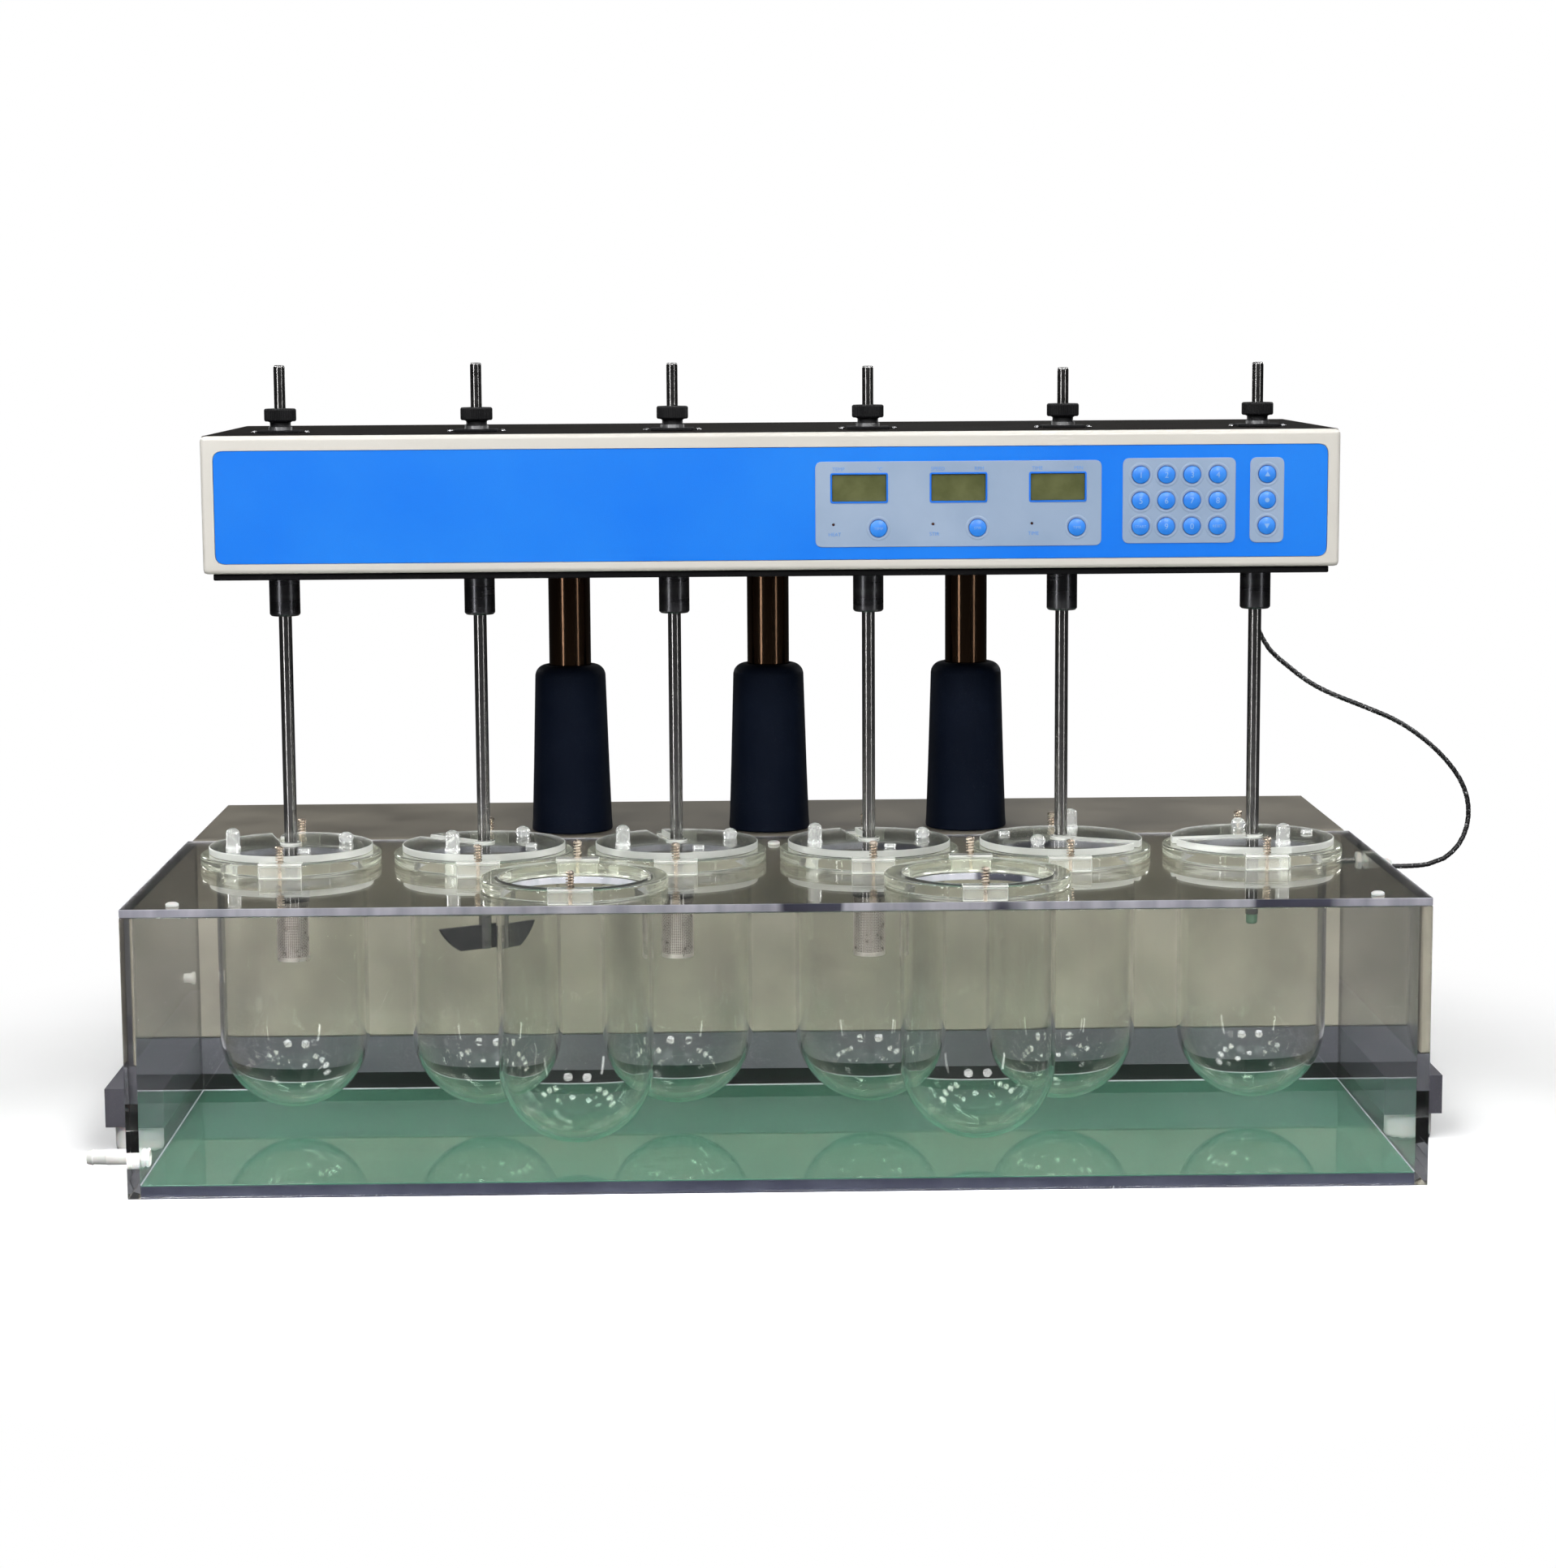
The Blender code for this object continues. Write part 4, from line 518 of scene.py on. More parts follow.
polished_steel = finish(
    "polished_steel", (0.42, 0.42, 0.43), (0.62, 0.62, 0.63), 0.16, 0.26, 700, 0.05, metallic=1.0,
    stretch=(1, 1, 6),
)
PIN_PLACES = ((-0.007, -0.0015), (0.007, -0.0015), (0, 0.0025))
pins = [
    plate([block_round(INLET_X + x, INLET_Z + z, 0.001, 0.002)], INLET_BACK - 0.0131, INLET_BACK - 0.004)
    for x, z in PIN_PLACES
]
inlet_pins = made_of("mains_inlet_pins", [s for pin in pins for s in moved(pin, facing_back)], polished_steel)
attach(inlet_pins, "base")

# Lift columns: three ground steel tubes tied by a beam inside the cabinet; the head sits on their
# tops. Their bronze tone is a painted warm reflection. Each has a tapered rubber sleeve that stands
# on the cabinet.

COLUMN_X, COLUMN_Y = (-0.152, 0.0, 0.152), 0.097
# The brown-bronze colours below are a painted warm reflection on the steel columns.
column_steel_painted_warm_reflection = finish(
    "column_painted_warm_reflection", (0.085, 0.047, 0.028), (0.13, 0.078, 0.048), 0.12, 0.17, 500, 0.05, metallic=1.0,
    stretch=(1, 1, 0.15), slow=60,
)
COLUMN_R, COLUMN_FOOT, COLUMN_TOP, BEAM_LOW = 0.016, 0.1502, 0.4107, 0.138
column_profile = [(0, COLUMN_FOOT), (COLUMN_R, COLUMN_FOOT), (COLUMN_R, COLUMN_TOP), (0, COLUMN_TOP)]
column_profile = eased(column_profile, 0.0008)
columns = made_of(
    "lift_columns_turned",
    [turned(column_profile, (x, COLUMN_Y, 0), 72) for x in COLUMN_X]
    + plate([block_outline((-0.174, 0.077), (0.174, 0.117), 0.003)], BEAM_LOW, COLUMN_FOOT - 0.0003),
    column_steel_painted_warm_reflection,
)
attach(columns, "head")
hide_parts("lift_columns")

boot_rubber = finish(
    "sleeve_rubber", (0.003, 0.0055, 0.0135), (0.006, 0.0095, 0.02), 0.55, 0.65, 1800, 0.25,
    dusty=0.03, specular=0.04,
)
BOOT_TOP, BOOT_BOTTOM = 0.3291, 0.2015
shoulder = np.linspace(np.pi / 2, 0, 13)
boot_profile = np.concatenate(
    [
        [(0.0169, BOOT_TOP - 0.004), (0.0172, BOOT_TOP - 0.001), (0.0184, BOOT_TOP)],
        np.column_stack([0.018 + 0.009 * np.cos(shoulder), BOOT_TOP - 0.009 + 0.009 * np.sin(shoulder)]),
        [(0.0276, 0.30), (0.0291, 0.25), (0.0305, 0.21), (0.031, 0.2035), (0.0308, 0.202)],
        [(0.030, BOOT_BOTTOM)],
        [(0.0166, BOOT_BOTTOM), (0.0166, BOOT_TOP - 0.006), (0.0169, BOOT_TOP - 0.004)],
    ]
)
for side, x in zip(("left", "middle", "right"), COLUMN_X):
    boot = made_of(f"column_sleeve_{side}", [turned(boot_profile, (x, COLUMN_Y, 0), 72)], boot_rubber)
    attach(boot, "base")
    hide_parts(f"column_boot_{side}")

# Water bath: four clear acrylic walls, 8 mm thick and solvent-welded, round a dark floor slab
# that carries a glossy green sheet. It stands on the bench in front of the cabinet.

TANK_LOW, TANK_HIGH, TANK_WALL = (-0.443, -0.248), (0.443, 0.059), 0.008


def clear(name, tint, ior, smooth, rough, through, scale=40.0, weight=1.0):
    """A clear solid: it bends light, its sheen wanders a little with wipe marks, and a shadow ray
    passes it, so that lamps shine through. weight is the share of light that it lets in."""
    material, tree, shader, here = nodes_of(name)
    skin = placed_group(tree, grain, here, Scale=scale, Slow_Scale=scale, Smooth=smooth, Rough=rough)
    for label, value in (("Base Color", (*tint, 1)), ("Transmission Weight", weight), ("IOR", ior)):
        shader.inputs[label].default_value = value
    ray = node_in(tree, "LightPath")
    open_way = node_in(tree, "BsdfTransparent", {"Color": (*through, 1)})
    either = node_in(tree, "MixShader")
    join(
        tree,
        (skin["Roughness"], shader.inputs["Roughness"]),
        (ray.outputs["Is Shadow Ray"], either.inputs["Fac"]),
        (shader.outputs["BSDF"], either.inputs[1]),
        (open_way.outputs["BSDF"], either.inputs[2]),
        (either.outputs["Shader"], tree.nodes["Material Output"].inputs["Surface"]),
    )
    return material


def walled(profile, low, high, corner=0.0006, steps=3):
    """A profile of (inset, height) carried round a rectangle with rounded corners: each point
    moves in from the outline by its inset."""
    (x0, y0), (x1, y1) = low, high
    loops = []
    for inset, z in profile:
        inner_low, inner_high = (x0 + inset, y0 + inset), (x1 - inset, y1 - inset)
        loops.append(at_height(block_outline(inner_low, inner_high, max(corner - inset, 1e-5), steps), z))
    return grid(np.stack(loops), around=True)


acrylic = clear("clear_acrylic", (0.985, 0.985, 0.992), 1.49, 0.0, 0.03, (0.93, 0.93, 0.94))
wall_profile = eased(
    [(0, 0.0004), (0, 0.1941), (TANK_WALL, 0.1941), (TANK_WALL, 0.0004)], 0.0005, 2, closed=True,
)
wall_profile = np.concatenate([wall_profile, wall_profile[:1]])
tank = made_of("bath_walls", [walled(wall_profile, TANK_LOW, TANK_HIGH)], acrylic)
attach(tank, "base")
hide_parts("bath_tank")

floor_low, floor_high = (-0.4348, -0.2398), (0.4348, 0.0508)
SLAB_LOW, SLAB_HIGH, SHEET_LOW, SHEET_HIGH = 0.0002, 0.0079, 0.008, 0.0088
slab_paint = finish(
    "floor_slab", (0.02, 0.022, 0.036), (0.036, 0.04, 0.058), 0.4, 0.5, 400, 0.05, specular=0.1,
    slow=30,
)
floor_outline = block_outline(floor_low, floor_high)
slab = made_of("bath_floor_slab", plate([floor_outline], SLAB_LOW, SLAB_HIGH), slab_paint)
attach(slab, "base")

green_sheet, tree, shader, here = nodes_of("green_floor_sheet")
streak_space = node_in(tree, "Mapping", {"Scale": (5, 420, 1)})
join(tree, (here, streak_space.inputs["Vector"]))
streaks = stepped(tree, noise(tree, streak_space.outputs["Vector"], 1.0, 4.0), 0.3, 0.7)
cloud = stepped(tree, noise(tree, here, 5.0, 3.0), 0.3, 0.7)
green = blended(tree, streaks, (0.026, 0.086, 0.056), (0.048, 0.127, 0.086))
green = blended(tree, cloud, green, (0.037, 0.106, 0.072))
sheen = placed_group(tree, grain, here, Scale=600.0, Slow_Scale=14.0, Smooth=0.015, Rough=0.035)
join(tree, (green, shader.inputs["Base Color"]), (sheen["Roughness"], shader.inputs["Roughness"]))
floor_sheet = plate([floor_outline], SHEET_LOW, SHEET_HIGH, 0.0002)
floor_sheet = made_of("bath_floor_sheet", floor_sheet, green_sheet)
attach(floor_sheet, "base")

# Cement fillets where the floor sheet meets the rear and side walls, a little milky: a quarter
# round of radius FILLET carried along each corner.
cement = clear("milky_cement", (0.36, 0.36, 0.4), 1.45, 0.35, 0.5, (0.8, 0.8, 0.85), 400.0, 0.35)
FILLET, SHEET_TOP = 0.0006, 0.00885


def fillet(start, end, out_one, out_two):
    """A straight bead: a three-cornered section with a hollow face, between two places, with its
    corner there and its legs along out_one and out_two."""
    sweep = np.linspace(0, np.pi / 2, 5)
    bow = np.column_stack([1 - np.sin(sweep), 1 - np.cos(sweep)]) * FILLET
    section = np.concatenate([bow, [(0, 0)]])
    legs = section[:, :1] * np.array(out_one) + section[:, 1:] * np.array(out_two)
    ends = np.array([start, end], float)
    points, faces = grid(ends[:, None] + legs[None], around=True)
    caps = [list(range(len(section))), list(range(len(section), 2 * len(section)))]
    return points, faces + caps


in_x = TANK_HIGH[0] - TANK_WALL - 0.00005
in_front, in_rear = TANK_LOW[1] + TANK_WALL, TANK_HIGH[1] - TANK_WALL - 0.00005
beads = [fillet((-in_x, in_rear, SHEET_TOP), (in_x, in_rear, SHEET_TOP), (0, -1, 0), (0, 0, 1))]
for x in (-in_x, in_x):
    to_middle = (-np.sign(x), 0, 0)
    beads.append(fillet((x, in_front, SHEET_TOP), (x, in_rear, SHEET_TOP), to_middle, (0, 0, 1)))
weld = made_of("bath_cement_beads", beads, cement)
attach(weld, "base")

# Drain and wall fittings: white moulded nylon. The drain is a hose nozzle whose flange and hex
# nut clamp the left wall; the gland holds the probe in the right wall; a small stub takes a hose.

DRAIN_Y, DRAIN_Z, WALL_X = -0.212, 0.0215, 0.443


def hex_nut(across, low, high, bore, centre, axis):
    """Hexagonal nut: a six-sided turned body with its corners cut back at both faces."""
    body = [
        (bore, low), (across * 0.9, low), (across, low + 0.0008), (across, high - 0.0008),
        (across * 0.9, high), (bore, high), (bore, low),
    ]
    return turned(body, centre, 6, axis)


drain_at = (-WALL_X, DRAIN_Y, DRAIN_Z)
nozzle = eased(
    [
        (0.0035, -0.033), (0.0046, -0.033), (0.0055, -0.029), (0.0049, -0.0285), (0.0052, -0.020),
        (0.0055, -0.0194), (0.0055, -0.0041), (0.0069, -0.004), (0.0071, -0.0035), (0.0071, -0.0004),
        (0.0035, -0.0004), (0.0035, -0.033),
    ],
    0.0003, 2,
)
thread = np.linspace(-0.0003, 0.0098, 41)
thread_profile = np.column_stack([0.0056 + 0.0002 * np.cos(2 * np.pi * thread / 0.001), thread])
sleeve_in_wall = np.concatenate([[(0.0035, -0.0005)], thread_profile, [(0.0035, 0.01), (0.0035, -0.0005)]])
drain = made_of(
    "drain_hose_fitting",
    [
        turned(nozzle, drain_at, 48, "x"),
        turned(sleeve_in_wall, drain_at, 32, "x"),
        hex_nut(0.0069, 0.0083, 0.0107, 0.0059, drain_at, "x"),
    ],
    nylon,
)
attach(drain, "base")
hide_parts("drain_fitting")

# A short hose stub in the same wall, near the rear, for topping up.
STUB_Y, STUB_Z = 0.036, 0.099
stub_at = (-WALL_X, STUB_Y, STUB_Z)
stub_profile = eased(
    [
        (0.002, -0.0085), (0.0036, -0.0085), (0.0036, -0.0028), (0.0048, -0.0027), (0.0048, -0.0003),
        (0.002, -0.0003), (0.002, -0.0085),
    ],
    0.0004, 2,
)
stub = made_of("hose_stub", [turned(stub_profile, stub_at, 36, "x")], nylon)
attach(stub, "base")

GLAND_Y, GLAND_Z = -0.033, 0.187
gland_at = (WALL_X, GLAND_Y, GLAND_Z)
dome = [
    (0.0046, 0.0043), (0.0062, 0.0044), (0.0063, 0.008), (0.0058, 0.0115), (0.0046, 0.0138),
    (0.0042, 0.0143), (0.0019, 0.0143), (0.0019, 0.011),
]
gland = made_of(
    "probe_gland",
    [
        hex_nut(0.0068, 0.0003, 0.0043, 0.002, gland_at, "x"),
        turned(eased(dome, 0.0004, 2), gland_at, 48, "x", ribs=18, rib_depth=0.0003),
        hex_nut(0.0068, -0.0123, -0.0083, 0.002, gland_at, "x"),
        turned([(0.0019, -0.0125), (0.0043, -0.0125), (0.0043, 0.0005), (0.0019, 0.0005)], gland_at, 32, "x"),
    ],
    nylon,
)
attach(gland, "base")
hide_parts("cable_gland")
probe_profile = eased([(0, -0.0274), (0.0024, -0.0274), (0.0024, -0.012), (0, -0.012)], 0.0012)
probe = made_of("temperature_probe", [turned(probe_profile, gland_at, 32, "x")], polished_steel)
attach(probe, "base")

# Bath lid: a clear acrylic plate laid on the bath, with a bored hole for each vessel. Clear
# block clips before and behind each hole hold its flange, each on a sprung screw.

STATION_X, ROW_Y = (-0.35, -0.21, -0.07, 0.07, 0.21, 0.35), -0.057
VESSEL_PLACES = [(x, ROW_Y) for x in STATION_X] + [(-0.14, -0.177), (0.14, -0.177)]
LID_LOW, LID_HIGH, LID_HOLE_R, FLANGE_R, FLANGE_TOP = 0.1945, 0.2, 0.0554, 0.0652, 0.2095
lid_loops = [block_outline(TANK_LOW, TANK_HIGH, 0.0012)]
lid_loops += [circle(x, y, LID_HOLE_R, 96, way=-1) for x, y in VESSEL_PLACES]
# The lid's grey-brown tint is painted shade: it darkens the clear plate and all that is seen through it.
lid_acrylic_painted_shade = clear("lid_acrylic_painted_shade", (0.77, 0.76, 0.72), 1.49, 0.0, 0.025, (0.9, 0.9, 0.89))
lid = made_of("bath_lid_plate", plate(lid_loops, LID_LOW, LID_HIGH), lid_acrylic_painted_shade)


def edged(piece, material, chosen):
    """Gives a second material to the faces that chosen(centres, normals) picks out."""
    piece.data.materials.append(material)
    sides = piece.data.polygons
    centres, normals = np.empty((len(sides), 3)), np.empty((len(sides), 3))
    sides.foreach_get("center", centres.ravel())
    sides.foreach_get("normal", normals.ravel())
    sides.foreach_set("material_index", chosen(centres, normals).astype(np.int32))


def upright(centres, normals):
    return np.abs(normals[:, 2]) < 0.8


# A sawn and half polished edge: milky, with a few clear dark dashes along the front.
sawn_edge, tree, shader, here = nodes_of("sawn_acrylic_edge")
along_edge = node_in(tree, "Mapping", {"Scale": (1, 1, 0.1)})
join(tree, (here, along_edge.inputs["Vector"]))
dashes = stepped(tree, noise(tree, along_edge.outputs["Vector"], 16.0, 1.0), 0.6, 0.63)
haze = stepped(tree, noise(tree, along_edge.outputs["Vector"], 60.0, 3.0), 0.35, 0.65)
edge_tone = blended(tree, haze, (0.26, 0.26, 0.31), (0.5, 0.49, 0.55))
join(tree, (blended(tree, dashes, edge_tone, (0.03, 0.03, 0.05)), shader.inputs["Base Color"]))
for label, value in (("Roughness", 0.35), ("Transmission Weight", 0.25)):
    shader.inputs[label].default_value = value
edged(lid, sawn_edge, upright)
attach(lid, "base")
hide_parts("bath_lid")

# A clip is a clear block on the lid with ground, pale edges and a thin lap over the flange.
CLIP_WIDTH, CLIP_DEPTH, CLIP_LAP, CLIP_HIGH, LAP_TOP = 0.031, 0.0053, 0.005, 0.2092, 0.2112
bar = block_outline((-CLIP_WIDTH / 2, LID_HIGH + 0.0001), (CLIP_WIDTH / 2, CLIP_HIGH), 0.0012)
lap = block_outline((-CLIP_WIDTH / 2, -CLIP_LAP), (CLIP_WIDTH / 2, CLIP_DEPTH), 0.0008)


def beside_vessel(x, y, side):
    """Carries a clip from its own places (along, away, height) to a vessel, in front of it for
    side -1 and behind it for side 1."""
    return lambda p: np.column_stack([x + p[:, 0], y + side * (FLANGE_R + p[:, 1]), p[:, 2]])


CLIP_PLACES = [(x, y, side) for x, y in VESSEL_PLACES for side in (-1, 1)]
block = [(points[:, [0, 2, 1]], faces) for points, faces in plate([bar], 0.0003, CLIP_DEPTH, 0.0006)]
clip_body = block + plate([lap], FLANGE_TOP + 0.0001, LAP_TOP, 0.0005)
milky = clear("milky_acrylic", (0.92, 0.92, 0.9), 1.49, 0.03, 0.1, (0.85, 0.86, 0.84), 300.0, 0.88)
clips = made_of(
    "vessel_clips", [s for place in CLIP_PLACES for s in moved(clip_body, beside_vessel(*place))],
    milky,
)
frosted_edge = clear(
    "frosted_acrylic_edge", (0.6, 0.61, 0.58), 1.49, 0.3, 0.5, (0.8, 0.81, 0.79), 300.0, 0.66
)
edged(clips, frosted_edge, lambda c, n: np.abs(n).max(1) < 0.95)
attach(clips, "base")

nickel = finish(
    "nickel_screw", (0.5, 0.4, 0.31), (0.78, 0.68, 0.57), 0.2, 0.34, 900, 0.08, metallic=0.85,
    slow=120,
)
screw_profile = eased(
    [
        (0, 0.1975), (0.0013, 0.1975), (0.0013, 0.2211), (0.003, 0.2212), (0.0031, 0.2224),
        (0.002, 0.2235), (0.0009, 0.2237), (0.0009, 0.223), (0, 0.223),
    ],
    0.0003, 2,
)
washer = [
    (0.0013, LAP_TOP + 0.0001), (0.0025, LAP_TOP + 0.0001), (0.0025, LAP_TOP + 0.0006),
    (0.0013, LAP_TOP + 0.0006), (0.0013, LAP_TOP + 0.0001),
]
SCREW_OUT = (0.0003 + CLIP_DEPTH) / 2
screw_places = [(x, y + side * (FLANGE_R + SCREW_OUT), 0) for x, y, side in CLIP_PLACES]
clip_screws = made_of(
    "clip_screws",
    [turned(shape, place, 20) for place in screw_places for shape in (screw_profile, washer)],
    nickel,
)
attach(clip_screws, "base")


def coil(radius, wire, turns, low, high, centre, steps=18, sides=7):
    """Spring: a circle of the wire's radius carried along a helix; height rises evenly with the turn."""
    u = np.linspace(0, 2 * np.pi * turns, int(turns * steps) + 1)[:, None]
    v = np.linspace(0, 2 * np.pi, sides + 1)[:-1][None]
    r = radius + wire * np.cos(v)
    z = low + (high - low) * u / u[-1] + wire * np.sin(v)
    return grid(np.stack([r * np.cos(u), r * np.sin(u), z], -1) + np.array(centre), around=True)


coils = [coil(0.0024, 0.0006, 4, LAP_TOP + 0.0013, 0.2205, place) for place in screw_places]
springs = made_of("clip_springs", coils, nickel)
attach(springs, "base")

# White nylon pan screws hold the lid to the bath walls.
pan = eased(
    [
        (0, 0.2001), (0.0045, 0.2001), (0.0045, 0.2016), (0.003, 0.2026), (0.0008, 0.2026),
        (0.0006, 0.2019), (0, 0.2019),
    ],
    0.0004, 2,
)
LID_SCREWS = ((-0.409, -0.2345), (0.408, -0.2345), (0.002, 0.017), (-0.409, 0.047), (0.409, 0.047))
lid_screws = made_of("lid_screws", [turned(pan, (x, y, 0), 28) for x, y in LID_SCREWS], nylon)
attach(lid_screws, "base")

# Vessels: one-litre round-bottomed glass, blown thin with a thick ground flange that hangs in
# the lid's hole; greenish where one looks along the glass. Six are stirred, two are spares.

glass = clear("vessel_glass", (0.982, 0.986, 0.972), 1.47, 0.0, 0.012, (0.93, 0.95, 0.93), 60.0)
flange_glass = clear("flange_glass", (0.79, 0.8, 0.71), 1.47, 0.02, 0.08, (0.85, 0.88, 0.78), 60.0, 0.9)
VESSEL_R, VESSEL_WALL, BOWL_Z, FLANGE_LOW = 0.0542, 0.0026, 0.0762, 0.2003
down = np.linspace(0, np.pi / 2, 25)
bowl_out = np.column_stack([VESSEL_R * np.cos(down), BOWL_Z - VESSEL_R * np.sin(down)])
inner_r = VESSEL_R - VESSEL_WALL
bowl_in = np.column_stack([inner_r * np.cos(down[::-1]), BOWL_Z - inner_r * np.sin(down[::-1])])
rim = eased(
    [
        (inner_r, 0.19), (inner_r, FLANGE_TOP), (FLANGE_R, FLANGE_TOP), (FLANGE_R, FLANGE_LOW),
        (VESSEL_R, FLANGE_LOW), (VESSEL_R, 0.19),
    ],
    0.0022, 5,
)
vessel_profile = np.concatenate([bowl_in, rim, bowl_out])
for number, (x, y) in enumerate(VESSEL_PLACES, 1):
    vessel = made_of(f"glass_vessel_{number}", [turned(vessel_profile, (x, y, 0), 96)], glass, 60)
    edged(vessel, flange_glass, lambda c, n: np.hypot(c[:, 0] - x, c[:, 1] - y) > VESSEL_R + 0.002)
    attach(vessel, "base")
    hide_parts(f"vessel_{number}")

# Vessel covers: clear acrylic discs with a bore for the shaft and a slot so that a cover can be
# slid off round it, each with a collar, a long sampling plug, a short knob and a small cap.

cover_acrylic = clear("cover_acrylic", (0.87, 0.87, 0.86), 1.49, 0.0, 0.03, (0.9, 0.91, 0.91), 90.0)
plug_acrylic = clear("plug_acrylic", (0.94, 0.95, 0.94), 1.49, 0.04, 0.14, (0.85, 0.86, 0.85), 200.0, 0.82)
COVER_R, COVER_LOW, COVER_HIGH, BORE_R, SLOT_HALF = 0.059, 0.2098, 0.2148, 0.0055, 0.0055
COVER_TURNS = (0, 36, 2, -2, 228, 84)
SLOT_TURN, ROD_TURN, KNOB_TURN, CAP_TURN = 105, 207, 12, -70
ROD_TOP, KNOB_TOP, ON_COVER = 0.2297, 0.2222, COVER_HIGH + 0.0001


def keyhole(radius, bore, slot_half):
    """A round disc with a bore and a slot along +X from the bore to the rim, anticlockwise."""
    start = math.asin(slot_half / radius)
    rim_turn = np.linspace(start, 2 * np.pi - start, 90)
    back = np.linspace(-np.pi / 2, np.pi / 2, 21)
    outside = radius * np.column_stack([np.cos(rim_turn), np.sin(rim_turn)])
    inside = bore * np.column_stack([-np.cos(back), np.sin(back)])
    return np.concatenate([outside, inside])


def spun(surfaces, degrees, centre):
    """Turned about Z by an angle, then carried to a centre."""
    c, s = math.cos(math.radians(degrees)), math.sin(math.radians(degrees))
    turn = np.array([[c, s, 0], [-s, c, 0], [0, 0, 1]])
    return moved(surfaces, lambda p: p @ turn + np.array(centre))


cover_plate = plate([keyhole(COVER_R, BORE_R, SLOT_HALF)], COVER_LOW, COVER_HIGH, 0.0005)
collar = plate([keyhole(0.0078, BORE_R, SLOT_HALF - 0.0001)], ON_COVER, 0.2162, 0.0003)


def domed(radius, top, rise):
    """A round top: radius times the cosine and rise times the sine of a quarter turn."""
    t = np.linspace(0, np.pi / 2, 10)
    return np.column_stack([radius * np.cos(t), top - rise + rise * np.sin(t)])


def standing(profile, reach, degrees):
    a = math.radians(degrees)
    return turned(profile, (reach * math.cos(a), reach * math.sin(a), 0), 32)


rod_profile = eased(
    [
        (0, 0.1868), (0.0036, 0.1868), (0.0041, 0.2097), (0.0041, ON_COVER), (0.0055, ON_COVER),
        (0.0055, 0.2165), (0.0050, 0.2170), (0.0050, 0.2256),
    ],
    0.0005, 3,
)
rod_profile = np.concatenate([rod_profile, domed(0.005, ROD_TOP, 0.004)])
knob_profile = np.concatenate([[(0, ON_COVER), (0.0046, ON_COVER)], domed(0.0054, KNOB_TOP, 0.0045)])
small_cap = eased([(0, ON_COVER), (0.0042, ON_COVER), (0.0042, 0.2173), (0, 0.2173)], 0.0006, 3)
for number, (x, degrees) in enumerate(zip(STATION_X, COVER_TURNS), 1):
    fittings = [
        standing(rod_profile, 0.044, ROD_TURN),
        standing(knob_profile, 0.040, KNOB_TURN),
        standing(small_cap, 0.043, CAP_TURN),
    ]
    body = f"cover_{number}"
    turned_disc = spun(cover_plate + collar, SLOT_TURN + degrees, (x, ROW_Y, 0))
    disc = made_of(f"cover_disc_{number}", turned_disc, cover_acrylic)
    edged(disc, frosted_edge, upright)
    plugs = made_of(f"cover_plugs_{number}", spun(fittings, degrees, (x, ROW_Y, 0)), plug_acrylic)
    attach(disc, body)
    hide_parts(f"vessel_cover_{number}")
    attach(plugs, body)

# Head casing: a pressed steel front frame with softly rounded edges, screwed to a folded shell
# of two sides and a back, all sprayed warm off-white. The top and base plates are dark.

HEAD_LOW, HEAD_HIGH = (-0.398, 0.416), (0.398, 0.512)
FRONT, FRAME_BACK, HEAD_BACK, EDGE_R = 0.126, 0.119, 0.119, 0.0032
beige_paint = finish(
    "head_paint", (0.76, 0.73, 0.665), (0.83, 0.8, 0.735), 0.3, 0.42, 1300, 0.22, dusty=0.12,
    coat=0.25, slow=5
)
PANEL_LOW, PANEL_HIGH = (-0.389, 0.4231), (0.389, 0.5016)


def rounded_loop(low, high, inset, corner, steps=6, way=1):
    """Rectangle with rounded corners, drawn in by an inset from one whose corners are rounder."""
    (x0, y0), (x1, y1) = low, high
    rim_low, rim_high = (x0 + inset, y0 + inset), (x1 - inset, y1 - inset)
    return block_outline(rim_low, rim_high, max(corner - inset, 0.0002), steps, way)


bend = np.linspace(0, np.pi / 2, 7)
edge_profile = [(EDGE_R * (1 - math.sin(a)), FRONT - EDGE_R * (1 - math.cos(a))) for a in bend]
edge_profile += [(0, FRAME_BACK)]
frame_skin = np.stack([at_height(rounded_loop(HEAD_LOW, HEAD_HIGH, i, 0.004), h) for i, h in edge_profile])
window = rounded_loop(PANEL_LOW, PANEL_HIGH, -0.0003, 0.007, way=-1)
face_loop = rounded_loop(HEAD_LOW, HEAD_HIGH, EDGE_R, 0.004)
back_loop = rounded_loop(HEAD_LOW, HEAD_HIGH, 0, 0.004)
window_wall = np.stack([at_height(window, h) for h in (FRONT, FRAME_BACK)])
face_points, face_faces = fill([face_loop, window])
back_points, back_faces = fill([back_loop, window])
front_frame = made_of(
    "head_front_frame",
    moved(
        [
            grid(frame_skin, around=True), grid(window_wall, around=True),
            (at_height(face_points, FRONT), face_faces), (at_height(back_points, FRAME_BACK), back_faces),
        ],
        facing_front,
    ),
    beige_paint,
)
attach(front_frame, "head")
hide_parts("head_case")

# Shell: a U in plan with rounded rear corners, drawn anticlockwise outside and back inside.
outer = eased([(0.398, -0.1188), (0.398, HEAD_BACK), (-0.398, HEAD_BACK), (-0.398, -0.1188)], 0.004, 6)
SHELL_BACK, SHELL_LOW, SHELL_HIGH = HEAD_BACK - 0.0025, 0.4161, 0.5092
inner = eased([(-0.3955, -0.1188), (-0.3955, SHELL_BACK), (0.3955, SHELL_BACK), (0.3955, -0.1188)], 0.002, 4)
shell = plate([np.concatenate([outer, inner])], SHELL_LOW, SHELL_HIGH, 0.0006)
shell = made_of("head_shell", shell, beige_paint)
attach(shell, "head")
back_screw = eased(
    [(0, 0.0002), (0.0028, 0.0002), (0.0028, 0.0009), (0.0016, 0.0016), (0, 0.0016)], 0.0003, 2,
)
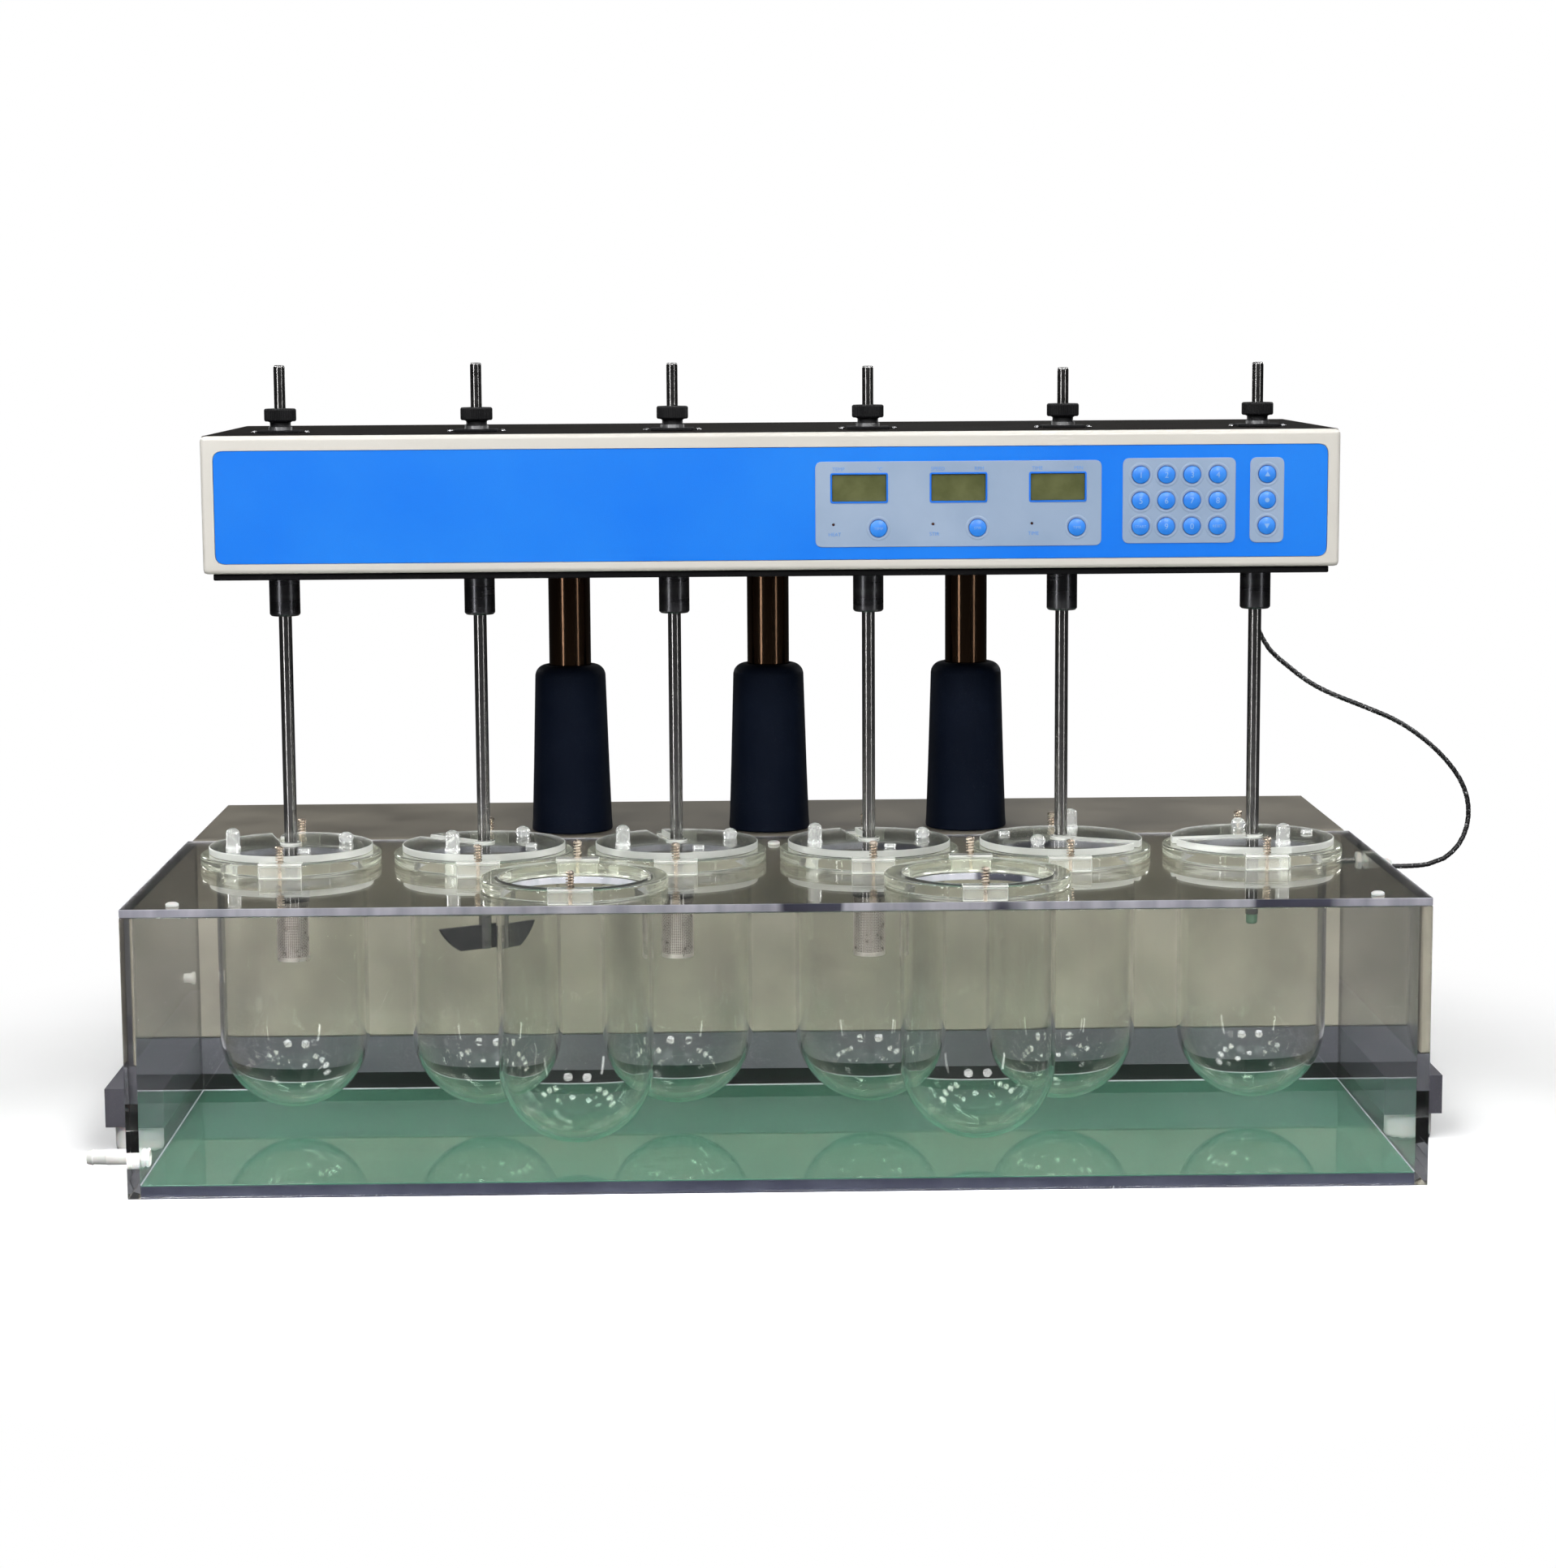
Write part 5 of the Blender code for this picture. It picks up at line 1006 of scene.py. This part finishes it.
back_screws = made_of(
    "head_back_screws",
    [
        turned(back_screw, (x, HEAD_BACK, z), 20, "y")
        for x in (-0.38, -0.127, 0.127, 0.38) for z in (0.4235, 0.5035)
    ],
    polished_steel,
)
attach(back_screws, "head")

top_paint = finish(
    "head_top_paint", (0.01, 0.009, 0.008), (0.018, 0.016, 0.014), 0.6, 0.75, 1200, 0.25, dusty=0.2,
    specular=0.02,
)
SPINDLE_HOLE, TOP_LOW, TOP_HIGH, PAD_HIGH = 0.0088, 0.5095, 0.512, 0.514
top_loops = [block_outline((-0.3978, -0.1186), (0.3978, 0.1188), 0.003)]
top_loops += [circle(x, ROW_Y, SPINDLE_HOLE, 40, way=-1) for x in STATION_X]
top_plate = made_of("head_top_cover", plate(top_loops, TOP_LOW, TOP_HIGH, 0.0005), top_paint)
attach(top_plate, "head")
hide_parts("head_top_plate")

pad_black = finish(
    "bearing_pad_black", (0.006, 0.006, 0.007), (0.012, 0.012, 0.013), 0.5, 0.65, 1500, 0.2,
    dusty=0.2, specular=0.1,
)
pads = []
for x in STATION_X:
    pad_loops = [block_round(x, ROW_Y, 0.0155, 0.013, 0.002), circle(x, ROW_Y, SPINDLE_HOLE, 40, way=-1)]
    pads += plate(pad_loops, TOP_HIGH + 0.0001, PAD_HIGH, 0.0004)
pads = made_of("bearing_pads", pads, pad_black)
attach(pads, "head")
cross_head = eased(
    [(0, 0.5121), (0.0022, 0.5121), (0.0021, 0.5130), (0.001, 0.5137), (0.0005, 0.5134), (0, 0.5134)],
    0.0003, 2,
)
pad_screw_places = [(x + side * 0.0185, ROW_Y, 0) for x in STATION_X for side in (-1, 1)]
pad_screws = [turned(cross_head, at, 20) for at in pad_screw_places]
pad_screws = made_of("bearing_screws", pad_screws, polished_steel)
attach(pad_screws, "head")

base_paint = finish(
    "head_base_paint", (0.003, 0.003, 0.004), (0.007, 0.007, 0.008), 0.5, 0.65, 1200, 0.2,
    dusty=0.08, specular=0.1,
)
BASE_LOW, BASE_HIGH = 0.4112, 0.4157
base_loops = [block_outline((-0.392, -0.12), (0.392, 0.1165), 0.003)]
base_loops += [circle(x, ROW_Y, SPINDLE_HOLE, 40, way=-1) for x in STATION_X]
base_plate = made_of("head_base_cover", plate(base_loops, BASE_LOW, BASE_HIGH, 0.0006), base_paint)
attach(base_plate, "head")
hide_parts("head_base_plate")

# Control panel: a blue printed film with a fine matt grain in the frame's window, with three
# raised pale grey plates. Windows for the displays and holes for lamps and keys go through both.

FILM_BACK, FILM, PLATE_FACE, KEY_BACK = 0.1199, 0.1256, 0.1262, 0.1240
DISPLAY_X, DISPLAY_Z, DISPLAY_HALF = (0.0607, 0.1302, 0.1997), 0.473, (0.0191, 0.0095)
LAMP_X, LAMP_Z = (0.0426, 0.1124, 0.1817), 0.4475
KEY_ROWS, MODE_Z, ARROW_X = (0.4808, 0.4628, 0.4448), 0.4447, 0.34645
PAD_X = [0.2578 + 0.018 * i for i in range(4)]
KEYS = {"temperature": (0.0741, MODE_Z), "speed": (0.1436, MODE_Z), "time": (0.2131, MODE_Z)}
for names, z in zip((("1", "2", "3", "4"), ("5", "6", "7", "8"), ("start", "9", "0", "reset")), KEY_ROWS):
    KEYS.update({name: (x, z) for name, x in zip(names, PAD_X)})
KEYS.update({name: (ARROW_X, z) for name, z in zip(("up", "stop", "down"), KEY_ROWS)})
PLATES = (
    ((0.03, 0.4318), (0.2304, 0.4915)), ((0.2452, 0.433), (0.3244, 0.4926)),
    ((0.3345, 0.433), (0.3584, 0.4926)),
)
KEY_R, KEY_HOLE = 0.0060, 0.0063


def holes_within(low, high):
    """Clockwise holes for the displays, lamps and keys that lie inside a rectangle."""
    inside = lambda x, z: low[0] < x < high[0] and low[1] < z < high[1]
    loops = [
        block_round(x, DISPLAY_Z, *DISPLAY_HALF, 0.0008, way=-1) for x in DISPLAY_X if inside(x, DISPLAY_Z)
    ]
    loops += [circle(x, LAMP_Z, 0.001, 16, way=-1) for x in LAMP_X if inside(x, LAMP_Z)]
    return loops + [circle(x, z, KEY_HOLE, 40, way=-1) for x, z in KEYS.values() if inside(x, z)]


film_blue = finish(
    "panel_blue", (0.008, 0.21, 0.97), (0.018, 0.27, 1.0), 0.3, 0.42, 2600, 0.3, slow=7,
    specular=0.2,
)
film_loops = [rounded_loop(PANEL_LOW, PANEL_HIGH, 0, 0.007)] + holes_within(PANEL_LOW, PANEL_HIGH)
film = made_of("panel_film", moved(plate(film_loops, FILM_BACK, FILM, 0.0002), facing_front), film_blue)
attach(film, "head")
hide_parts("control_panel")

plate_grey = finish(
    "panel_plate_grey", (0.32, 0.43, 0.6), (0.4, 0.51, 0.68), 0.32, 0.45, 2600, 0.3, slow=14,
    specular=0.3,
)
raised = []
for low, high in PLATES:
    plate_loops = [block_outline(low, high, 0.005, 6)] + holes_within(low, high)
    raised += moved(plate(plate_loops, FILM + 0.00005, PLATE_FACE, 0.0003), facing_front)
# The sheet swells in a soft ring round each key: its height is 0.35 mm times a half sine wave
# across the ring, to the power 0.8.
swell = np.linspace(0, 1, 9)
swell_r = KEY_HOLE + 0.0001 + 0.0024 * swell
swell_profile = np.column_stack([swell_r, -PLATE_FACE + 0.0001 - 0.00035 * np.sin(np.pi * swell) ** 0.8])
swell_profile = np.concatenate([swell_profile, swell_profile[:1]])
rings = [turned(swell_profile, (x, 0, z), 48, "y") for x, z in KEYS.values()]
plates = made_of("panel_plates", raised + rings, plate_grey)
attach(plates, "head")

# Displays: an unlit olive liquid-crystal glass behind each window, in a thin blue bezel, and a
# small dark lamp lens in each lamp hole.
bezels, glasses, lenses = [], [], []
half_wide, half_high = DISPLAY_HALF
for x in DISPLAY_X:
    ring = [
        block_round(x, DISPLAY_Z, half_wide + 0.0011, half_high + 0.0011, 0.0016),
        block_round(x, DISPLAY_Z, half_wide - 0.0001, half_high - 0.0001, 0.0006, way=-1),
    ]
    bezels += moved(plate(ring, PLATE_FACE + 0.00005, PLATE_FACE + 0.0004, 0.0002), facing_front)
    pane = [block_round(x, DISPLAY_Z, half_wide - 0.0002, half_high - 0.0002, 0.0007)]
    glasses += moved(plate(pane, KEY_BACK, KEY_BACK + 0.001, 0.0001), facing_front)
lens_profile = [(0, -KEY_BACK), (0.0009, -KEY_BACK), (0.0009, -0.1258), (0.0006, -0.1261), (0, -0.1262)]
for x in LAMP_X:
    lenses.append(turned(lens_profile, (x, 0, LAMP_Z), 20, "y"))
bezel_blue = finish("bezel_blue", (0.012, 0.19, 0.85), (0.02, 0.23, 0.95), 0.25, 0.35, 2000, 0.1)
bezel = made_of("display_bezels", bezels, bezel_blue)
crystal, tree, shader, here = nodes_of("display_crystal")
cells = stepped(tree, noise(tree, here, 70, 5), 0.35, 0.65)
olive = blended(tree, cells, (0.115, 0.127, 0.05), (0.165, 0.175, 0.075))
join(tree, (olive, shader.inputs["Base Color"]))
shader.inputs["Roughness"].default_value = 0.12
crystal_glass = made_of("display_crystals", glasses, crystal)
lens_dark = finish("lamp_lens", (0.06, 0.02, 0.015), (0.1, 0.035, 0.025), 0.12, 0.2, 2000, 0.0)
lens_pieces = made_of("lamp_lenses", lenses, lens_dark)
for piece in (bezel, crystal_glass, lens_pieces):
    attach(piece, "head")


def lettering(text, size, x, z, front):
    """Flat letters with their middle at x, z; front(distance from that middle) gives how far the
    surface under them stands before Y=0."""
    curve = bpy.data.curves.new(text, "FONT")
    curve.body, curve.size, curve.extrude, curve.resolution_u = text, size, 0.00004, 4
    curve.align_x, curve.align_y = "CENTER", "CENTER"
    drawn = bpy.data.objects.new(text, curve)
    bpy.context.scene.collection.objects.link(drawn)
    mesh = bpy.data.meshes.new_from_object(drawn.evaluated_get(bpy.context.evaluated_depsgraph_get()))
    p = np.array([v.co for v in mesh.vertices])
    faces = [list(face.vertices) for face in mesh.polygons]
    bpy.data.objects.remove(drawn)
    p[:, :2] -= (p[:, :2].max(0) + p[:, :2].min(0)) / 2
    depth = front(np.hypot(p[:, 0], p[:, 1])) + 0.00014 + p[:, 2]
    return np.column_stack([x + p[:, 0], -depth, z + p[:, 1]]), faces


print_blue = finish("label_print", (0.12, 0.33, 0.78), (0.16, 0.38, 0.82), 0.4, 0.5, 2000, 0.0)
on_plate = lambda r: PLATE_FACE + 0 * r
labels = []
for left, right, under, x, lamp_x in zip(
    ("TEMP", "SPEED", "TIME"), ("°C", "RPM", "MIN"), ("HEAT", "STIR", "TIME"), DISPLAY_X, LAMP_X,
):
    labels += [
        lettering(left, 0.0036, x - 0.0145, DISPLAY_Z + 0.0132, on_plate),
        lettering(right, 0.0036, x + 0.0145, DISPLAY_Z + 0.0132, on_plate),
        lettering(under, 0.0036, lamp_x + 0.001, LAMP_Z - 0.0068, on_plate),
    ]
panel_labels = made_of("panel_labels", labels, print_blue)
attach(panel_labels, "head")

# Keys: eighteen domed blue caps moulded in soft clear-coated plastic, each pressed in by a
# finger, with its sign printed pale on the dome.

KEY_TOP, KEY_EDGE = 0.1280, 0.1270
key_blue = finish(
    "key_blue", (0.02, 0.25, 0.94), (0.04, 0.31, 1.0), 0.36, 0.46, 1500, 0.05, coat=0.15, slow=200,
)
print_pale = finish("key_print", (0.26, 0.5, 0.93), (0.32, 0.56, 0.97), 0.35, 0.45, 2000, 0.0)
dome_at = lambda r: KEY_TOP - (KEY_TOP - KEY_EDGE) * (r / KEY_R) ** 2
dome_r = np.linspace(KEY_R - 0.0003, 0, 9)
key_profile = np.concatenate(
    [
        [(0, -KEY_BACK), (KEY_R, -KEY_BACK), (KEY_R, -KEY_EDGE + 0.0003)],
        [(KEY_R - 0.00008, -KEY_EDGE + 0.00005)],
        np.column_stack([dome_r, -dome_at(dome_r)]),
    ]
)
SIGNS = {"temperature": "TEMP", "speed": "STIR", "time": "TIME", "start": "START", "reset": "RESET"}
for name, (x, z) in KEYS.items():
    cap = made_of(f"key_cap_{name}", [turned(key_profile, (x, 0, z), 48, "y")], key_blue)
    if name in ("up", "down"):
        tip = 1 if name == "up" else -1
        loop = np.array([(-0.0019, -0.0015), (0.0019, -0.0015), (0, 0.0019)])
        loop = (loop * (1, tip))[::tip] + (x, z)
        sign = moved(plate([loop], KEY_TOP - 0.00012, KEY_TOP + 0.00006, 0.00002), facing_front)
    elif name == "stop":
        spot = circle(x, z, 0.0016, 24)
        sign = moved(plate([spot], KEY_TOP - 0.00009, KEY_TOP + 0.00006, 0.00002), facing_front)
    else:
        word = SIGNS.get(name, name)
        sign = [lettering(word, 0.0058 if len(word) == 1 else 0.0027, x, z, dome_at)]
    print_piece = made_of(f"key_sign_{name}", sign, print_pale)
    for piece in (cap, print_piece):
        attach(piece, f"key_{name}")
    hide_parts(f"key_{name}")

# Spindles: a satin steel sleeve below the head, the tube and belt pulley inside it, and a black
# knurled clamping nut on top; all six are driven together by the belt.

satin_steel = finish(
    "satin_steel", (0.1, 0.1, 0.11), (0.16, 0.16, 0.17), 0.24, 0.34, 900, 0.0, metallic=1.0,
    stretch=(0.3, 0.3, 3), slow=40
)
nut_black = finish(
    "nut_black", (0.003, 0.003, 0.004), (0.008, 0.008, 0.009), 0.45, 0.6, 1500, 0.2, dusty=0.1,
    specular=0.2,
)
alloy = finish("pulley_alloy", (0.42, 0.42, 0.43), (0.55, 0.55, 0.56), 0.28, 0.4, 900, 0.1, metallic=1.0)
painted("drive_motor", satin_steel)
sleeve_profile = eased(
    [
        (0.00505, 0.3812), (0.0097, 0.381), (0.011, 0.3824), (0.011, 0.4108), (0.00505, 0.4108),
        (0.00505, 0.3812),
    ],
    0.0004, 2,
)
tube_profile = [(0.0046, 0.4104), (0.0085, 0.4104), (0.0085, 0.5163), (0.0046, 0.5163), (0.0046, 0.4104)]
groove = np.linspace(0.4884, 0.5, 13)
groove_r = 0.0198 - 0.0012 * (0.5 + 0.5 * np.cos(4 * np.pi * (groove - 0.4884) / 0.0116))
pulley_profile = [(0.0086, 0.4884), *zip(groove_r, groove), (0.0086, 0.5), (0.0086, 0.4884)]
nut_knurl = eased(
    [
        (0.0046, 0.5206), (0.0108, 0.5202), (0.0115, 0.5212), (0.0115, 0.5284), (0.0107, 0.5293),
        (0.0046, 0.5293), (0.0046, 0.5206),
    ],
    0.0003, 2,
)
nut_neck = eased(
    [
        (0.0046, 0.5163), (0.0078, 0.5163), (0.0074, 0.5175), (0.0074, 0.5195), (0.0098, 0.5206),
        (0.0046, 0.5206), (0.0046, 0.5163),
    ],
    0.0004, 2,
)
for number, x in enumerate(STATION_X, 1):
    at = (x, ROW_Y, 0)
    steel_part = made_of(f"spindle_sleeve_{number}", [turned(sleeve_profile, at, 56)], satin_steel)
    drive = [turned(tube_profile, at, 40), turned(pulley_profile, at, 48)]
    drive_part = made_of(f"spindle_drive_{number}", drive, alloy)
    knurled = turned(nut_knurl, at, 144, ribs=48, rib_depth=0.0005, turn=0.03 * number)
    nut = made_of(f"spindle_nut_{number}", [knurled, turned(nut_neck, at, 48)], nut_black)
    for piece in (steel_part, drive_part, nut):
        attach(piece, f"spindle_{number}")
    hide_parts(f"spindle_{number}")

# Stirrers: ground stainless shafts, stepped thinner where they pass up through the spindle, with
# a round top. Stations 1, 3 and 4 carry a woven basket, 2 a dark coated paddle, 6 a green tip.

ground_steel = finish(
    "ground_steel", (0.38, 0.373, 0.37), (0.46, 0.452, 0.448), 0.13, 0.18, 900, 0.0, metallic=1.0,
    stretch=(0.4, 0.4, 5), slow=50
)
basket_steel = finish(
    "basket_steel", (0.5, 0.45, 0.425), (0.66, 0.61, 0.58), 0.25, 0.36, 1200, 0.05, metallic=0.8,
    slow=200,
)
gauze = finish(
    "basket_gauze", (0.15, 0.125, 0.113), (0.2, 0.17, 0.155), 0.4, 0.55, 2600, 0.3, metallic=0.7,
    slow=150,
)
dark_coat = finish(
    "dark_tool_coat", (0.008, 0.008, 0.009), (0.016, 0.016, 0.018), 0.4, 0.55, 1300, 0.12, slow=60,
    specular=0.2,
)
green_coat = finish(
    "green_tip_coat", (0.02, 0.05, 0.03), (0.035, 0.075, 0.045), 0.35, 0.5, 1300, 0.12, slow=90,
)
STEM_TOPS = (0.56, 0.561, 0.56, 0.557, 0.555, 0.558)
SHAFT_ENDS = (0.169, 0.1372, 0.169, 0.169, 0.2165, 0.157)


def shaft_profile(end, top):
    """A shaft with its full radius up to the spindle and a thinner one through it."""
    rows = [(0, end), (0.0047, end), (0.0047, 0.4246), (0.004, 0.425), (0.004, top - 0.0008)]
    return eased(rows + [(0.0032, top), (0, top)], 0.0006, 3)


def woven(radius, low, high, uprights, rings, wire, x):
    """Wire cloth round a cylinder: upright wires weave in and out of ring wires by about their radius."""
    v = np.array([0.25, 0.75, 1.25, 1.75]) * np.pi
    z = np.linspace(low, high, rings * 2 + 1)[:, None]
    sets = []
    for k in range(uprights):
        a = 2 * np.pi * k / uprights
        weave = wire * np.cos(np.pi * (z - low) / (high - low) * rings + np.pi * (k % 2))
        r = radius + weave + wire * np.cos(v)
        side = wire * np.sin(v)
        upright_wire = [
            r * math.cos(a) - side * math.sin(a), r * math.sin(a) + side * math.cos(a), z + 0 * r,
        ]
        sets.append(grid(np.stack(upright_wire, -1), around=True))
    around = np.linspace(0, 2 * np.pi, uprights * 2 + 1)[:-1][:, None]
    for k in range(rings):
        weave = -wire * np.cos(uprights / 2 * around + np.pi * (k % 2)) * 0.8
        r = radius + weave + wire * np.cos(v)
        height = low + (high - low) * (k + 0.5) / rings + wire * np.sin(v) + 0 * around
        ring_wire = np.stack([r * np.cos(around), r * np.sin(around), height], -1)
        sets.append(grid(ring_wire, around=True, along=True))
    return [(p + np.array((x, ROW_Y, 0)), f) for p, f in sets]


BASKET_LOW, BASKET_HIGH, BASKET_R = 0.1302, 0.168, 0.0112
UPRIGHT_WIRES, RING_WIRES, WIRE_R = 48, 28, 0.00022
cap_profile = eased(
    [
        (0.0048, 0.1798), (0.0112, 0.1798), (0.0124, 0.1785), (0.0124, 0.169), (0.0118, 0.1683),
        (0, 0.1683),
    ],
    0.0005, 3,
)
bands = [
    eased([(0.0106, low), (0.0117, low), (0.0117, high), (0.0106, high), (0.0106, low)], 0.0003, 2)
    for low, high in ((0.1300, 0.1330), (0.1652, 0.1682))
]
lining = [(0, 0.1306), (0.0107, 0.1306), (0.0107, 0.1652), (0.0104, 0.1652), (0.0104, 0.1311), (0, 0.1311)]
tip_profile = eased(
    [
        (0, 0.1501), (0.0032, 0.1501), (0.0042, 0.1511), (0.0042, 0.159), (0.0046, 0.1592),
        (0.0046, 0.1602), (0, 0.1602),
    ],
    0.0004, 2,
)
# The paddle's ends are arcs of one circle, from its lower edge to its upper edge.
PADDLE_R, PADDLE_LOW, LOW_COSINE, TOP_COSINE, PADDLE_TURN = 0.0415, 0.1372, 0.506, 0.8976, 32
for number, (x, end, top) in enumerate(zip(STATION_X, SHAFT_ENDS, STEM_TOPS), 1):
    at, body = (x, ROW_Y, 0), f"stirrer_{number}"
    shaft = made_of(f"stirrer_shaft_{number}", [turned(shaft_profile(end, top), at, 48)], ground_steel)
    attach(shaft, body)
    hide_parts(body)
    extra = []
    if number in (1, 3, 4):
        extra.append(made_of(f"basket_cap_{number}", [turned(cap_profile, at, 48)], dark_coat))
        extra.append(made_of(f"basket_bands_{number}", [turned(b, at, 64) for b in bands], basket_steel))
        cloth = woven(BASKET_R, BASKET_LOW + 0.002, BASKET_HIGH - 0.002, UPRIGHT_WIRES, RING_WIRES, WIRE_R, x)
        extra.append(made_of(f"basket_cloth_{number}", cloth, basket_steel, 80))
        extra.append(made_of(f"basket_lining_{number}", [turned(lining, at, 48)], gauze))
    elif number == 2:
        sweep = np.linspace(-math.acos(LOW_COSINE), -math.acos(TOP_COSINE), 13)
        centre_z = PADDLE_LOW + PADDLE_R * math.sin(math.acos(LOW_COSINE))
        right = np.column_stack([PADDLE_R * np.cos(sweep), centre_z + PADDLE_R * np.sin(sweep)])
        blade = eased(np.concatenate([right, right[::-1] * (-1, 1)]), 0.0006, 2, closed=True)
        blade = spun(moved(plate([blade], -0.002, 0.002, 0.0005), facing_front), PADDLE_TURN, at)
        extra.append(made_of("paddle_blade", blade, dark_coat))
    elif number == 6:
        extra.append(made_of("shaft_tip", [turned(tip_profile, at, 40)], green_coat))
    for piece in extra:
        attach(piece, body)

# Probe cable: a thin lead in a black spiral wrap, hanging free from the underside of the head
# and looping round to the gland in the bath's right wall.

CABLE_R, CABLE_STEP = 0.0018, 0.0088
CABLE_ROUTE = (
    (0.3575, -0.0015, 0.4105), (0.3575, -0.002, 0.395), (0.358, -0.0025, 0.378), (0.3605, -0.003, 0.3628),
    (0.3695, -0.005, 0.346), (0.3833, -0.0068, 0.3335), (0.3976, -0.0087, 0.3225), (0.4137, -0.0105, 0.3138),
    (0.4386, -0.0132, 0.3038), (0.46, -0.0156, 0.2947), (0.476, -0.0175, 0.285), (0.4922, -0.0196, 0.2716),
    (0.5047, -0.0215, 0.2573), (0.5122, -0.023, 0.244), (0.5155, -0.0244, 0.23), (0.5143, -0.0259, 0.2155),
    (0.5082, -0.0275, 0.202), (0.4972, -0.029, 0.192), (0.485, -0.031, 0.188), (0.4715, -0.0325, 0.187),
    (0.4577, -0.033, 0.187),
)


def smooth_route(route, step):
    """Points about one step apart on a smooth curve through the route: between b and c the point is
    (2b + (c-a)t + (2a-5b+4c-d)t^2 + (3b-a-3c+d)t^3) / 2."""
    p = np.array(route)
    p = np.concatenate([[2 * p[0] - p[1]], p, [2 * p[-1] - p[-2]]])
    spans = []
    for a, b, c, d in zip(p, p[1:], p[2:], p[3:]):
        count = max(1, round(float(np.linalg.norm(c - b)) / step))
        t = (np.arange(count) / count)[:, None]
        square, cube = (2 * a - 5 * b + 4 * c - d) * t**2, (3 * b - a - 3 * c + d) * t**3
        spans.append((2 * b + (c - a) * t + square + cube) / 2)
    return np.concatenate(spans + [p[-2:-1]])


cable_path = smooth_route(CABLE_ROUTE, CABLE_STEP)


def wrapped_tube(path, radius, pitch, groove_depth, step=0.0006, sides=14):
    """A tube along a path whose radius dips by groove_depth along one helix of that pitch: the
    angle round the tube and the length along it give the place on the helix."""
    lengths = np.concatenate([[0], np.cumsum(np.linalg.norm(np.diff(path, axis=0), axis=1))])
    s = np.linspace(0, lengths[-1], int(lengths[-1] / step) + 1)
    fine = np.stack([np.interp(s, lengths, path[:, k]) for k in range(3)], -1)
    for _ in range(3):
        fine[1:-1] = (fine[:-2] + 2 * fine[1:-1] + fine[2:]) / 4
    ahead = np.gradient(fine, axis=0)
    ahead /= np.linalg.norm(ahead, axis=1, keepdims=True)
    across = np.cross(ahead, (0, 1, 0))
    across /= np.linalg.norm(across, axis=1, keepdims=True)
    third = np.cross(ahead, across)
    v = np.linspace(0, 2 * np.pi, sides + 1)[:-1]
    place = (s[:, None] / pitch - v / (2 * np.pi)) % 1
    r = (radius - groove_depth * np.clip(1 - np.abs(place - 0.5) * 7, 0, 1))[..., None]
    ring = np.cos(v)[None, :, None] * across[:, None] + np.sin(v)[None, :, None] * third[:, None]
    start, end = (np.repeat(tip[:, None], sides, 1) for tip in (fine[:1], fine[-1:]))
    return grid(np.concatenate([start, fine[:, None] + r * ring, end]), around=True)


cable_black, tree, shader, here = nodes_of("cable_wrap")
wrap_skin = placed_group(tree, grain, here, Scale=2500.0, Slow_Scale=160.0, Smooth=0.18, Rough=0.45)
# The pale specks mixed into the wrap's black are painted glints, highlights on the wrap's turns.
glint = stepped(tree, noise(tree, here, 420.0, 1.0), 0.66, 0.7)
join(
    tree,
    (blended(tree, glint, (0.008, 0.008, 0.009), (0.35, 0.35, 0.36)), shader.inputs["Base Color"]),
    (wrap_skin["Roughness"], shader.inputs["Roughness"]),
)
cable = made_of("probe_lead", [wrapped_tube(cable_path, CABLE_R, 0.0042, 0.0003)], cable_black, 70)
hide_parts("probe_cable")
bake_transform(cable)
